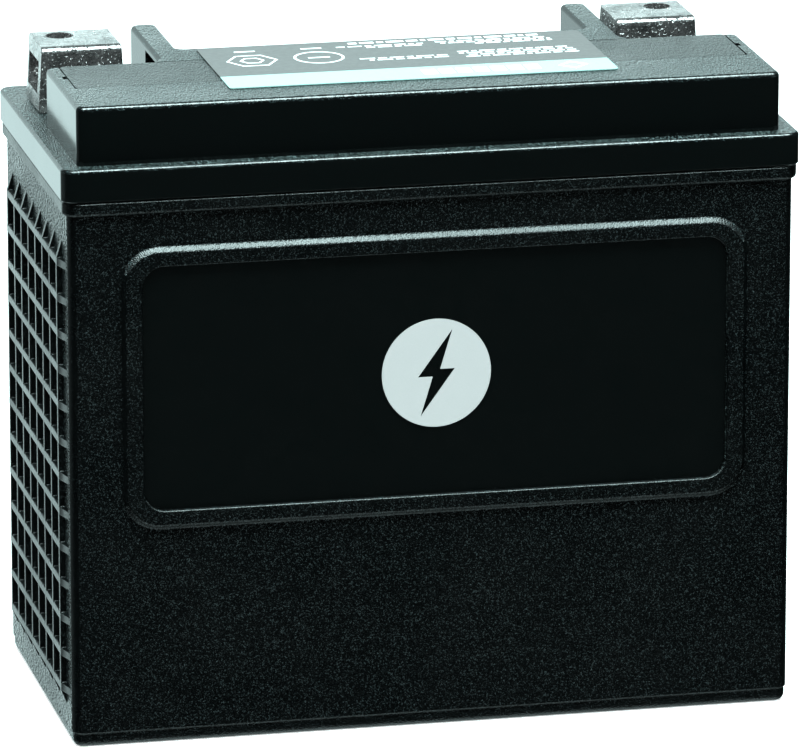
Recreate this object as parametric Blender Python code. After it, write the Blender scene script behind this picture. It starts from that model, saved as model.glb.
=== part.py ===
"""Sealed lead-acid motorcycle battery, 12 V, in a 175 x 87 x 155 mm case.

Metres, +Z up. The origin is the centre of the base; +X runs along the length, and the face
with the raised frame and the emblem looks along -Y. The two terminals stand at the back.
"""
import math

import bmesh
import bpy
from mathutils import Matrix, Vector

# ---------------------------------------------------------------- driving dimensions
GAP = 0.0003                    # between pieces that touch
FILM_GAP = 0.0001               # under a stuck-down film
BITE = 0.0010                   # how far a joined or cutting shape runs past a face

LENGTH = 0.1750                 # over the cover
WIDTH = 0.0870
HEIGHT = 0.1550                 # to the tops of the terminals

# Container
CASE_HALF_X = 0.0861
CASE_HALF_Y = 0.04215
CASE_RADIUS = 0.0028            # upright corners
BASE_RADIUS = 0.0016            # round bottom edge
BASE_INSET = 0.00035            # the foot is drawn in below a small step
BASE_STEP_Z = 0.0031
COLLAR_OUT = 0.0011             # the rim stands proud of the walls
COLLAR_Z = 0.1282
RIM_Z = 0.13115
WALL_X = 0.0028
WALL_Y = 0.0027
FLOOR = 0.0030
PARTITION = 0.0016
CELLS = 6
CELL_CORNER = 0.0012
RIM_GROOVE_WIDTH = 0.0015
RIM_GROOVE_DEPTH = 0.0016
RIM_GROOVE_CORNER = 0.0016
RIM_GROOVE_HALF_X = 0.0855      # centre line of the groove
RIM_GROOVE_HALF_Y = 0.0415

# Rib lattice on both short sides
RIB_FACE_X = 0.0874
RIB_PITCH_Y = 0.0094
RIB_COUNT_Y = 8
RIB_WIDTH_Y = 0.0014
RIB_PITCH_Z = 0.00855
RIB_COUNT_Z = 13
RIB_WIDTH_Z = 0.0017
RIB_FIRST_Z = 0.0128
RIB_RUN_DOWN = 0.0036           # length of the tapered fins below the lattice
RIB_RUN_UP = 0.0050             # and above it
RIB_RUN_SIDE = 0.0057           # and towards the corners
RIB_DRAFT = 0.00025             # the pockets narrow by this towards the wall

# Raised frame on the front and the back wall
FRAME_X = 0.0005                # centre of the frame
FRAME_Z = 0.0860
FRAME_FOOT = (0.0746, 0.0341)   # half sizes at the wall
FRAME_TOP = (0.0733, 0.0324)    # where the slope meets the flat land
FRAME_INNER = (0.0696, 0.0293)
FRAME_FOOT_RADIUS = 0.0090
FRAME_INNER_RADIUS = 0.0052
FRAME_HEIGHT = 0.00115
PANEL_DEPTH = 0.00045           # the wall inside the frame is let in
PANEL_INSET = 0.00005
FILM_MARGIN = 0.00025
FILM_THICKNESS = 0.00025

# Cover
COVER_Z = RIM_Z + GAP
LEDGE_Z = 0.1391                # top of the lower tier, and floor of the terminal recesses
TOP_Z = 0.1530                  # top of the bar
COVER_RADIUS = 0.0034
LEDGE_ROUND = 0.0006
TOP_ROUND = 0.0011
BAR_HALF_X = 0.0833
BAR_FRONT_Y = -0.0396
BAR_BACK_Y = 0.0020
BLOCK_BACK_Y = 0.0144
EAR_OUTER_X = 0.0558
EAR_INNER_X = 0.0495
EAR_BACK_Y = 0.0418
EAR_RECESS_Y = (0.0066, 0.0216)   # shallow recess low in each wall's outer face
EAR_RECESS_Z = 0.1513
EAR_RECESS_DEPTH = 0.0032
EAR_FILLET = 0.0040
COVER_WALL = 0.0026
COVER_CORNER = 0.0020           # upright corners of the upper tier
SKIRT_INSET = 0.0064            # front of the hollows, in from the cover's front

# Vent strip under the welded plate
PLATE_HALF_X = 0.0800
PLATE_FRONT_Y = -0.0202
PLATE_BACK_Y = 0.0017
PLATE_THICKNESS = 0.0018
PLATE_SEAM = 0.00035
PLATE_ROUND = 0.00015
PLATE_CORNER = 0.0009
SEAT_Z = TOP_Z - PLATE_THICKNESS - GAP
PLENUM_HALF_X = 0.0776
PLENUM_FRONT_Y = -0.0183
PLENUM_BACK_Y = -0.0007
PLENUM_Z = 0.1450
PORT_Y = -0.0095
CHIMNEY_R = 0.0050
CHIMNEY_BORE_R = 0.0033
CHIMNEY_Z = 0.1486
CAP_R = 0.0067
CAP_CLEARANCE = 0.0001
CAP_Z = 0.1456
CAP_TOP_Z = 0.1500
CAP_ROOF = 0.0011
CAP_BEAD = 0.0005
OUTLET_Y = (-0.0109, -0.0083)
OUTLET_X = 0.0813
ARRESTOR_POCKET = 0.0802        # end of the pocket that holds the frit
ARRESTOR_HALF_Y = 0.0030
ARRESTOR_Z = 0.1464
ARRESTOR_CORNER = 0.0006

# Terminals
LUG_FRONT_Y = 0.0130
LUG_BACK_Y = 0.0304
LUG_WIDTH = 0.0191
LUG_LEFT_OUTER = -0.0821        # outer face of the left lug, at its top
LUG_RIGHT_OUTER = 0.0761
LUG_BASE_Z = LEDGE_Z + GAP
LUG_DRAFT = 0.0009              # each side leans out by this at the foot
LUG_TOP_ROUND = 0.0018
LUG_EDGE = 0.0004
WINDOW_FLOOR_Z = 0.1434
WINDOW_TOP_Z = 0.1511
LUG_FRONT_WALL = 0.0031
LUG_BACK_WALL = 0.0018
LUG_INNER_WALL = 0.0046
BOLT_HOLE_R = 0.00325
BOLT_FROM_OUTER = 0.0064
BOLT_Y = 0.0254

POST_LEFT_X = -0.0720
POST_RIGHT_X = 0.0670
POST_Y = 0.0220
POST_R = 0.0055
POST_FOOT_R = 0.0065
POST_FOOT_HEIGHT = 0.0020
POST_CHAMFER = 0.0006
POST_BORE_R = 0.0059
BOSS_R = 0.0098
BOSS_Z = 0.1318
SEAL_R = 0.0080                 # epoxy well round the post
SEAL_DEPTH = 0.0014
RING_GROOVE_R = 0.0078
RING_GROOVE_Z = (0.1334, 0.1357)
RING_SECTION_R = 0.0009
MARK_SIZE = 0.0060              # raised polarity signs
MARK_STROKE = 0.0012
MARK_HEIGHT = 0.0004
MARK_Y = 0.0370

# Plate packs
PLATE_PITCH = 0.0030            # from a positive plate to the next negative one
POSITIVE_PLATES = 4
POSITIVE_THICKNESS = 0.0016
NEGATIVE_THICKNESS = 0.0014
PLATES_HALF_Y = 0.0360
PLATES_Z = (0.0055, 0.1080)
MAT_THICKNESS = 0.0008
MAT_HALF_Y = 0.0376
MAT_Z = (0.0040, 0.1100)
STRAP_Y = 0.0225
STRAP_HALF_Y = 0.0070
STRAP_Z = (0.1130, 0.1165)
TAB_HALF_Y = 0.0050
TOMBSTONE = 0.0028              # upright of a strap beside a partition
TOMBSTONE_Z = 0.1262
CONNECTOR_Z = 0.1205
CONNECTOR_R = 0.0045

# Label, films and emblem
LABEL_X = (-0.0455, 0.0470)
LABEL_Y = (-0.0289, 0.0117)
LABEL_THICKNESS = 0.0002
LABEL_CORNER = 0.0008
EMBLEM_R = 0.0130
EMBLEM_THICKNESS = 0.0002
FLASH_HALF = ((-0.0044, -0.0009), (-0.0009, -0.0009), (-0.0038, -0.0104))

ROUND_STEPS = 16
HOLE_STEPS = 24
EMBLEM_STEPS = 48
RING_STEPS = 6
CORNER_STEPS = 3
FRAME_STEPS = 5

CASE_BLACK = (0.012, 0.015, 0.015)
GLOSS_BLACK = (0.006, 0.008, 0.008)
LEAD_GREY = (0.56, 0.60, 0.59)
SEALANT_BLACK = (0.05, 0.05, 0.05)
RUBBER_BLACK = (0.02, 0.02, 0.02)
EPOXY_BLACK = (0.02, 0.02, 0.022)
FRIT_WHITE = (0.75, 0.75, 0.72)
PLATE_BROWN = (0.10, 0.045, 0.025)
PLATE_GREY = (0.16, 0.17, 0.175)
GLASS_WHITE = (0.80, 0.80, 0.78)
FOIL_SILVER = (0.62, 0.73, 0.72)
LABEL_GREY = (0.36, 0.42, 0.42)


# ---------------------------------------------------------------- outlines
def rounded_outline(corners, inset=0.0, steps=CORNER_STEPS):
    """Counter-clockwise outline with square corners given as (x, y, radius), drawn in by inset."""
    points = []
    count = len(corners)
    for index, (x, y, radius) in enumerate(corners):
        before = Vector(corners[index - 1][:2])
        after = Vector(corners[(index + 1) % count][:2])
        corner = Vector((x, y))
        came = (corner - before).normalized()
        goes = (after - corner).normalized()
        came_left = Vector((-came.y, came.x))
        goes_left = Vector((-goes.y, goes.x))
        turn = 1.0 if came.cross(goes) > 0 else -1.0
        corner = corner + inset * (came_left + goes_left)
        bend = max(radius - turn * inset, 0.00005)
        start = corner - came * bend
        centre = start + turn * bend * came_left
        for step in range(steps + 1):
            angle = turn * (math.pi / 2) * step / steps
            points.append(centre + Matrix.Rotation(angle, 2) @ (start - centre))
    return points


def rectangle(half_x, half_y, radius, inset=0.0, centre=(0.0, 0.0), steps=CORNER_STEPS):
    cx, cy = centre
    corners = [(cx - half_x, cy - half_y, radius), (cx + half_x, cy - half_y, radius),
               (cx + half_x, cy + half_y, radius), (cx - half_x, cy + half_y, radius)]
    return rounded_outline(corners, inset, steps)


def box_outline(x_range, y_range):
    (x0, x1), (y0, y1) = sorted(x_range), sorted(y_range)
    return [Vector((x0, y0)), Vector((x1, y0)), Vector((x1, y1)), Vector((x0, y1))]


def circle(radius, centre=(0.0, 0.0), steps=ROUND_STEPS):
    turns = (2 * math.pi * step / steps for step in range(steps))
    return [Vector((centre[0] + radius * math.cos(turn), centre[1] + radius * math.sin(turn)))
            for turn in turns]


def folded_strip(path, width):
    """Outline of a strip of the given width along a path of square turns."""
    left, right = [], []
    for index, point in enumerate(path):
        came = (point - path[index - 1]).normalized() if index else None
        goes = (path[index + 1] - point).normalized() if index + 1 < len(path) else None
        shift = Vector((0.0, 0.0))
        for heading in (came, goes):
            if heading is not None:
                shift += Vector((-heading.y, heading.x))
        left.append(point + shift * width / 2)
        right.append(point - shift * width / 2)
    return right + left[::-1]


def placed(points, level, plane):
    """Outline points set into space: the plane's two axes, and the level on the third."""
    if plane == "XY":
        return [Vector((u, v, level)) for u, v in points]
    if plane == "XZ":
        return [Vector((u, level, v)) for u, v in points]
    return [Vector((level, u, v)) for u, v in points]


# ---------------------------------------------------------------- solids
def loft(bm, loops):
    """Closed solid through loops with equal point counts, capped at both ends."""
    rings = [[bm.verts.new(point) for point in loop] for loop in loops]
    count = len(rings[0])
    made = []
    for low, high in zip(rings, rings[1:]):
        for i in range(count):
            j = (i + 1) % count
            made.append(bm.faces.new((low[i], low[j], high[j], high[i])))
    made.append(bm.faces.new(rings[0][::-1]))
    made.append(bm.faces.new(rings[-1]))
    bmesh.ops.recalc_face_normals(bm, faces=made)


def hoop(bm, loops):
    """Closed ring through loops that follow each other round its cross-section."""
    rings = [[bm.verts.new(point) for point in loop] for loop in loops]
    count = len(rings[0])
    made = []
    for near, far in zip(rings, rings[1:] + rings[:1]):
        for i in range(count):
            j = (i + 1) % count
            made.append(bm.faces.new((near[i], near[j], far[j], far[i])))
    bmesh.ops.recalc_face_normals(bm, faces=made)


def prism(bm, points, low, high, plane="XY"):
    loft(bm, [placed(points, low, plane), placed(points, high, plane)])


def block(bm, x_range, y_range, z_range):
    prism(bm, box_outline(x_range, y_range), *sorted(z_range))


def cylinder(bm, radius, centre, low, high, plane="XY", steps=ROUND_STEPS):
    prism(bm, circle(radius, centre, steps), low, high, plane)


def turned(bm, profile, centre, steps=ROUND_STEPS):
    """Solid of revolution about a vertical line, from (radius, z) points, bottom to top."""
    loft(bm, [placed(circle(radius, centre, steps), z, "XY") for radius, z in profile])


def make(name, build, material=None, origin=(0.0, 0.0, 0.0), smooth=True):
    """New object whose mesh the build function draws in world metres."""
    bm = bmesh.new()
    build(bm)
    bmesh.ops.transform(bm, matrix=Matrix.Translation(-Vector(origin)), verts=bm.verts)
    mesh = bpy.data.meshes.new(name)
    bm.to_mesh(mesh)
    bm.free()
    item = bpy.data.objects.new(name, mesh)
    item.location = origin
    bpy.context.scene.collection.objects.link(item)
    if material is not None:
        mesh.materials.append(material)
        finish_shading(item, smooth)
    return item


def finish_shading(item, smooth=True):
    if smooth:
        item.data.shade_smooth()
        item.data.set_sharp_from_angle(angle=math.radians(35))


def combine(item, build, operation):
    """Join the built shape to the object, or cut it out, and keep only the result."""
    tool = make("tool", build)
    change = item.modifiers.new(operation.lower(), "BOOLEAN")
    change.operation = operation
    change.solver = "EXACT"
    change.object = tool
    bpy.context.view_layer.update()
    result = bpy.data.meshes.new_from_object(item.evaluated_get(bpy.context.evaluated_depsgraph_get()))
    result.name = item.data.name
    item.modifiers.clear()
    item.data = result
    bpy.data.objects.remove(tool)


def join(item, build):
    combine(item, build, "UNION")


def cut(item, build):
    combine(item, build, "DIFFERENCE")


def material(name, colour, roughness, metallic=0.0):
    finish = bpy.data.materials.new(name)
    finish.use_nodes = True
    shader = finish.node_tree.nodes["Principled BSDF"]
    shader.inputs["Base Color"].default_value = (*colour, 1.0)
    shader.inputs["Roughness"].default_value = roughness
    shader.inputs["Metallic"].default_value = metallic
    finish.diffuse_color = (*colour, 1.0)
    return finish


# ---------------------------------------------------------------- shared places
def cell_width():
    inside = 2 * (CASE_HALF_X - WALL_X)
    return (inside - (CELLS - 1) * PARTITION) / CELLS


def cell_centre(index):
    return (index - (CELLS - 1) / 2) * (cell_width() + PARTITION)


def partition_x(index):
    """Centre of the partition between this cell and the next."""
    return (cell_centre(index) + cell_centre(index + 1)) / 2


def connector_y(index):
    """The joints between cells alternate from front to back."""
    return -STRAP_Y if index % 2 == 0 else STRAP_Y


def post_x(side):
    return POST_LEFT_X if side < 0 else POST_RIGHT_X


def spread(count, pitch):
    """Places of count things about zero."""
    return [(index - (count - 1) / 2) * pitch for index in range(count)]


def rib_heights():
    return [RIB_FIRST_Z + index * RIB_PITCH_Z for index in range(RIB_COUNT_Z)]


# ---------------------------------------------------------------- container
def container_body(bm):
    """Box with a round bottom edge, a small step above its foot, and a collar round its rim."""
    levels = []
    for step in range(CORNER_STEPS + 1):
        angle = math.pi / 2 * step / CORNER_STEPS
        low = BASE_RADIUS * (1 - math.sin(angle))
        levels.append((low, BASE_INSET + BASE_RADIUS * (1 - math.cos(angle))))
    levels.reverse()
    levels += [(BASE_STEP_Z, BASE_INSET), (BASE_STEP_Z + BASE_INSET, 0.0)]
    for step in range(CORNER_STEPS):
        angle = math.pi / 2 * step / (CORNER_STEPS - 1)
        levels.append((COLLAR_Z + COLLAR_OUT * (1 - math.cos(angle)) - COLLAR_OUT / 3,
                       -COLLAR_OUT * math.sin(angle)))
    levels += [(RIM_Z - LEDGE_ROUND / 3, -COLLAR_OUT), (RIM_Z, -COLLAR_OUT + LEDGE_ROUND / 3)]
    loft(bm, [placed(rectangle(CASE_HALF_X, CASE_HALF_Y, CASE_RADIUS, inset), z, "XY")
              for z, inset in levels])


def lattice_pad(bm, side):
    """Low flat-topped mound that the lattice is cut from."""
    reach_y = RIB_PITCH_Y * (RIB_COUNT_Y - 1) / 2 + RIB_WIDTH_Y / 2
    low_z = RIB_FIRST_Z - RIB_WIDTH_Z / 2
    high_z = rib_heights()[-1] + RIB_WIDTH_Z / 2
    foot = box_outline((-reach_y - RIB_RUN_SIDE, reach_y + RIB_RUN_SIDE),
                       (low_z - RIB_RUN_DOWN, high_z + RIB_RUN_UP))
    face = box_outline((-reach_y, reach_y), (low_z, high_z))
    levels = ((foot, CASE_HALF_X - BITE), (foot, CASE_HALF_X), (face, RIB_FACE_X))
    loft(bm, [placed(outline, side * x, "YZ") for outline, x in levels])


def lattice_pockets(bm, side):
    """Openings between the ribs; those at the border run out past the mound."""
    upright = spread(RIB_COUNT_Y, RIB_PITCH_Y)
    level = rib_heights()
    beyond = 2 * RIB_PITCH_Y
    y_edges = [upright[0] - beyond] + upright + [upright[-1] + beyond]
    z_edges = [level[0] - beyond] + level + [level[-1] + beyond]
    inner_x = CASE_HALF_X - 2 * BITE
    outer_x = RIB_FACE_X + BITE
    for y_low, y_high in zip(y_edges, y_edges[1:]):
        for z_low, z_high in zip(z_edges, z_edges[1:]):
            loops = []
            for x, draft in ((inner_x, RIB_DRAFT), (outer_x, 0.0)):
                half_y = RIB_WIDTH_Y / 2 + draft
                half_z = RIB_WIDTH_Z / 2 + draft
                opening = box_outline((y_low + half_y, y_high - half_y), (z_low + half_z, z_high - half_z))
                loops.append(placed(opening, side * x, "YZ"))
            loft(bm, loops)


def add_lattice(container, side):
    pad = make("pad", lambda bm: lattice_pad(bm, side))
    cut(pad, lambda bm: lattice_pockets(bm, side))
    join(container, lambda bm: bm.from_mesh(pad.data))
    bpy.data.objects.remove(pad)


def raised_frame(bm, side):
    wall = side * (CASE_HALF_Y - BITE)
    land = side * (CASE_HALF_Y + FRAME_HEIGHT)
    foot_y = side * CASE_HALF_Y
    centre = (FRAME_X, FRAME_Z)
    top_radius = FRAME_FOOT_RADIUS - (FRAME_FOOT[0] - FRAME_TOP[0])
    foot = rectangle(*FRAME_FOOT, FRAME_FOOT_RADIUS, centre=centre, steps=FRAME_STEPS)
    top = rectangle(*FRAME_TOP, top_radius, centre=centre, steps=FRAME_STEPS)
    inner = rectangle(*FRAME_INNER, FRAME_INNER_RADIUS, centre=centre, steps=FRAME_STEPS)
    hoop(bm, [placed(foot, wall, "XZ"), placed(foot, foot_y, "XZ"), placed(top, land, "XZ"),
              placed(inner, land, "XZ"), placed(inner, wall, "XZ")])


def container_hollows(bm):
    half_cell = cell_width() / 2
    for index in range(CELLS):
        outline = rectangle(half_cell, CASE_HALF_Y - WALL_Y, CELL_CORNER,
                            centre=(cell_centre(index), 0.0), steps=2)
        prism(bm, outline, FLOOR, RIM_Z + BITE)
    panel = rectangle(*FRAME_INNER, FRAME_INNER_RADIUS, PANEL_INSET, (FRAME_X, FRAME_Z), FRAME_STEPS)
    for side in (-1, 1):
        floor_y = side * (CASE_HALF_Y - PANEL_DEPTH)
        prism(bm, panel, floor_y, side * (CASE_HALF_Y + FRAME_HEIGHT + BITE), "XZ")
    rim_ring(bm, RIM_GROOVE_WIDTH, RIM_Z - RIM_GROOVE_DEPTH, RIM_Z + BITE)


def rim_ring(bm, width, low, high):
    outer, inner = (rectangle(RIM_GROOVE_HALF_X, RIM_GROOVE_HALF_Y, RIM_GROOVE_CORNER, inset)
                    for inset in (-width / 2, width / 2))
    hoop(bm, [placed(outer, low, "XY"), placed(outer, high, "XY"),
              placed(inner, high, "XY"), placed(inner, low, "XY")])


def partition_holes(bm):
    reach = PARTITION / 2 + BITE
    for index in range(CELLS - 1):
        cylinder(bm, CONNECTOR_R + GAP, (connector_y(index), CONNECTOR_Z),
                 partition_x(index) - reach, partition_x(index) + reach, "YZ")


def build_container(finish):
    container = make("container", container_body, finish)
    for side in (-1, 1):
        add_lattice(container, side)
        join(container, lambda bm, side=side: raised_frame(bm, side))
    cut(container, container_hollows)
    cut(container, partition_holes)
    finish_shading(container)
    return container


# ---------------------------------------------------------------- cover
def upper_tier_corners():
    """Bar along the front, block behind its middle, and an upright wall beside each terminal."""
    plain = COVER_CORNER
    return [(-BAR_HALF_X, BAR_FRONT_Y, plain), (BAR_HALF_X, BAR_FRONT_Y, plain),
            (BAR_HALF_X, BAR_BACK_Y, plain), (EAR_OUTER_X, BAR_BACK_Y, EAR_FILLET),
            (EAR_OUTER_X, EAR_BACK_Y, plain), (EAR_INNER_X, EAR_BACK_Y, plain),
            (EAR_INNER_X, BLOCK_BACK_Y, plain), (-EAR_INNER_X, BLOCK_BACK_Y, plain),
            (-EAR_INNER_X, EAR_BACK_Y, plain), (-EAR_OUTER_X, EAR_BACK_Y, plain),
            (-EAR_OUTER_X, BAR_BACK_Y, EAR_FILLET), (-BAR_HALF_X, BAR_BACK_Y, plain)]


def round_over(top, radius, steps=3):
    """(level, inset) pairs that round an upper edge."""
    pairs = []
    for step in range(steps + 1):
        angle = math.pi / 2 * step / steps
        pairs.append((top - radius * (1 - math.sin(angle)), radius * (1 - math.cos(angle))))
    return pairs


def lower_tier(bm):
    levels = [(COVER_Z, 0.0)] + round_over(LEDGE_Z, LEDGE_ROUND, 2)
    loft(bm, [placed(rectangle(LENGTH / 2, WIDTH / 2, COVER_RADIUS, inset), z, "XY")
              for z, inset in levels])


def upper_tier(bm):
    levels = [(LEDGE_Z - BITE, 0.0)] + round_over(TOP_Z, TOP_ROUND)
    loft(bm, [placed(rounded_outline(upper_tier_corners(), inset), z, "XY") for z, inset in levels])


def cover_underside(bm):
    """One moulded hollow over each cell, stepped under the vent strip and the recess floor."""
    front = -WIDTH / 2 + SKIRT_INSET
    back = WIDTH / 2 - COVER_WALL
    front_hollow_y = PLATE_FRONT_Y - COVER_WALL
    roof = TOP_Z - COVER_WALL
    profile = [(front, COVER_Z - BITE), (back, COVER_Z - BITE), (back, LEDGE_Z - COVER_WALL),
               (PLENUM_BACK_Y, LEDGE_Z - COVER_WALL), (PLENUM_BACK_Y, PLENUM_Z - COVER_WALL),
               (front_hollow_y, PLENUM_Z - COVER_WALL), (front_hollow_y, roof), (front, roof)]
    for index in range(CELLS):
        low = cell_centre(index) - cell_width() / 2
        high = cell_centre(index) + cell_width() / 2
        low = max(low, -BAR_HALF_X + COVER_WALL)
        high = min(high, BAR_HALF_X - COVER_WALL)
        prism(bm, [Vector(point) for point in profile], low, high, "YZ")


def block_hollows(bm):
    limit = EAR_INNER_X - COVER_WALL
    for index in range(1, CELLS - 1):
        low = max(cell_centre(index) - cell_width() / 2, -limit)
        high = min(cell_centre(index) + cell_width() / 2, limit)
        block(bm, (low, high), (BAR_BACK_Y + COVER_WALL, BLOCK_BACK_Y - COVER_WALL),
              (LEDGE_Z - COVER_WALL - BITE, TOP_Z - COVER_WALL))


def ear_recesses(bm):
    """Shallow recess low in the outer face of each wall beside the lugs."""
    for side in (-1, 1):
        block(bm, (side * (EAR_OUTER_X + BITE), side * (EAR_OUTER_X - EAR_RECESS_DEPTH)),
              EAR_RECESS_Y, (LEDGE_Z + GAP, EAR_RECESS_Z))


def vent_seat(bm):
    """Shelf for the welded plate, open at the back of the bar."""
    block(bm, (-PLATE_HALF_X - GAP, PLATE_HALF_X + GAP),
          (PLATE_FRONT_Y - PLATE_SEAM, PLATE_BACK_Y + PLATE_SEAM), (SEAT_Z, TOP_Z + BITE))


def vent_plenum(bm):
    outline = box_outline((-PLENUM_HALF_X, PLENUM_HALF_X), (PLENUM_FRONT_Y, PLENUM_BACK_Y))
    prism(bm, outline, PLENUM_Z, SEAT_Z + BITE / 2)


def arrestor_pockets(bm):
    middle = sum(OUTLET_Y) / 2
    for side in (-1, 1):
        block(bm, (side * (PLENUM_HALF_X - BITE), side * ARRESTOR_POCKET),
              (middle - ARRESTOR_HALF_Y, middle + ARRESTOR_HALF_Y), (ARRESTOR_Z, SEAT_Z + BITE / 2))


def gas_outlets(bm):
    for side in (-1, 1):
        block(bm, (side * (PLATE_HALF_X - BITE), side * OUTLET_X), OUTLET_Y,
              (SEAT_Z - BITE / 2, TOP_Z + BITE))


def chimneys(bm):
    for index in range(CELLS):
        cylinder(bm, CHIMNEY_R, (cell_centre(index), PORT_Y), PLENUM_Z - BITE, CHIMNEY_Z)


def chimney_bores(bm):
    for index in range(CELLS):
        cylinder(bm, CHIMNEY_BORE_R, (cell_centre(index), PORT_Y),
                 PLENUM_Z - 2 * COVER_WALL, CHIMNEY_Z + BITE)


def post_bosses(bm):
    for side in (-1, 1):
        cylinder(bm, BOSS_R, (post_x(side), POST_Y), BOSS_Z, LEDGE_Z - COVER_WALL + BITE)


def post_bores(bm):
    """Stepped hole for each post: bore, groove for the ring, and well for the epoxy."""
    for side in (-1, 1):
        steps = [(POST_BORE_R, BOSS_Z - BITE), (POST_BORE_R, RING_GROOVE_Z[0]),
                 (RING_GROOVE_R, RING_GROOVE_Z[0]), (RING_GROOVE_R, RING_GROOVE_Z[1]),
                 (POST_BORE_R, RING_GROOVE_Z[1]), (POST_BORE_R, LEDGE_Z - SEAL_DEPTH),
                 (SEAL_R, LEDGE_Z - SEAL_DEPTH), (SEAL_R, LEDGE_Z + BITE)]
        turned(bm, steps, (post_x(side), POST_Y))


def polarity_sign(bm, centre_x, upright):
    half = MARK_SIZE / 2
    stroke = MARK_STROKE / 2
    if not upright:
        outline = box_outline((centre_x - half, centre_x + half), (MARK_Y - stroke, MARK_Y + stroke))
    else:
        quarter = [(stroke, -half), (stroke, -stroke), (half, -stroke)]
        outline = []
        for turn in range(4):
            spin = Matrix.Rotation(turn * math.pi / 2, 2)
            outline += [Vector((centre_x, MARK_Y)) + spin @ Vector(point) for point in quarter]
    prism(bm, outline, LEDGE_Z - BITE, LEDGE_Z + MARK_HEIGHT)


def polarity_signs(bm):
    polarity_sign(bm, POST_LEFT_X, upright=True)
    polarity_sign(bm, POST_RIGHT_X, upright=False)


def build_cover(finish):
    cover = make("cover", lower_tier, finish)
    join(cover, upper_tier)
    cut(cover, cover_underside)
    cut(cover, block_hollows)
    cut(cover, ear_recesses)
    cut(cover, vent_seat)
    cut(cover, vent_plenum)
    cut(cover, arrestor_pockets)
    cut(cover, gas_outlets)
    join(cover, chimneys)
    cut(cover, chimney_bores)
    join(cover, post_bosses)
    cut(cover, post_bores)
    join(cover, polarity_signs)
    finish_shading(cover)
    return cover


# ---------------------------------------------------------------- vent pieces
def vent_plate(bm):
    half_y = (PLATE_BACK_Y - PLATE_FRONT_Y) / 2
    centre = (0.0, (PLATE_BACK_Y + PLATE_FRONT_Y) / 2)
    levels = [(TOP_Z - PLATE_THICKNESS, 0.0)] + round_over(TOP_Z, PLATE_ROUND, 2)
    loft(bm, [placed(rectangle(PLATE_HALF_X, half_y, PLATE_CORNER, inset, centre), z, "XY")
              for z, inset in levels])


def valve_cap(bm, centre):
    """Rubber cup that sits over a chimney, with a thicker lip."""
    bore = CHIMNEY_R + CAP_CLEARANCE
    profile = [(bore, CAP_Z), (CAP_R, CAP_Z), (CAP_R, CAP_Z + 2 * CAP_BEAD),
               (CAP_R - CAP_BEAD, CAP_Z + 3 * CAP_BEAD), (CAP_R - CAP_BEAD, CAP_TOP_Z - CAP_BEAD),
               (CAP_R - 2 * CAP_BEAD, CAP_TOP_Z)]
    outer = [placed(circle(radius, centre), z, "XY") for radius, z in profile]
    inner = [placed(circle(bore, centre), CAP_TOP_Z - CAP_ROOF, "XY")]
    loft(bm, inner + outer)


def flame_arrestor(bm, side):
    middle = sum(OUTLET_Y) / 2
    half = ARRESTOR_HALF_Y - GAP
    centre = (middle, (ARRESTOR_Z + SEAT_Z) / 2)
    outline = rectangle(half, (SEAT_Z - ARRESTOR_Z) / 2 - GAP, ARRESTOR_CORNER, centre=centre, steps=2)
    prism(bm, outline, side * (PLENUM_HALF_X + GAP), side * (ARRESTOR_POCKET - GAP), "YZ")


# ---------------------------------------------------------------- terminals
def lug_body(bm, outer_x, side):
    """Cast block with a rounded front top edge; its two sides lean out towards the foot."""
    corners = [(LUG_FRONT_Y, LUG_BASE_Z, LUG_EDGE), (LUG_BACK_Y, LUG_BASE_Z, LUG_EDGE),
               (LUG_BACK_Y, HEIGHT, LUG_EDGE), (LUG_FRONT_Y, HEIGHT, LUG_TOP_ROUND)]
    inner_x = outer_x - side * LUG_WIDTH
    stations = [(outer_x, LUG_EDGE), (outer_x - side * LUG_EDGE / 3, LUG_EDGE / 3),
                (outer_x - side * LUG_EDGE, 0.0), (inner_x + side * LUG_EDGE, 0.0),
                (inner_x + side * LUG_EDGE / 3, LUG_EDGE / 3), (inner_x, LUG_EDGE)]
    loft(bm, [placed(rounded_outline(corners, inset), x, "YZ") for x, inset in stations])
    middle_x = (outer_x + inner_x) / 2
    for vert in bm.verts:
        lean = LUG_DRAFT * (HEIGHT - vert.co.z) / (HEIGHT - LUG_BASE_Z)
        vert.co.x += math.copysign(lean, vert.co.x - middle_x)


def lug_window(bm, outer_x, side):
    """Nut window from the outer side."""
    depth = LUG_WIDTH - LUG_INNER_WALL
    block(bm, (outer_x + side * 2 * BITE, outer_x - side * depth),
          (LUG_FRONT_Y + LUG_FRONT_WALL, LUG_BACK_Y - LUG_BACK_WALL), (WINDOW_FLOOR_Z, WINDOW_TOP_Z))


def lug_bolt_hole(bm, outer_x, side):
    cylinder(bm, BOLT_HOLE_R, (outer_x - side * BOLT_FROM_OUTER, BOLT_Y),
             WINDOW_TOP_Z - BITE, HEIGHT + BITE, steps=HOLE_STEPS)


def build_lug(name, outer_x, side, finish):
    lug = make(name, lambda bm: lug_body(bm, outer_x, side), finish)
    cut(lug, lambda bm: lug_window(bm, outer_x, side))
    cut(lug, lambda bm: lug_bolt_hole(bm, outer_x, side))
    finish_shading(lug)
    return lug


def terminal_post(bm, side):
    base = STRAP_Z[1] + GAP
    top = LEDGE_Z - GAP / 2
    turned(bm, [(POST_FOOT_R, base), (POST_FOOT_R, base + POST_FOOT_HEIGHT),
                (POST_R, base + POST_FOOT_HEIGHT), (POST_R, top - POST_CHAMFER),
                (POST_R - POST_CHAMFER, top)], (post_x(side), POST_Y))


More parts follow.
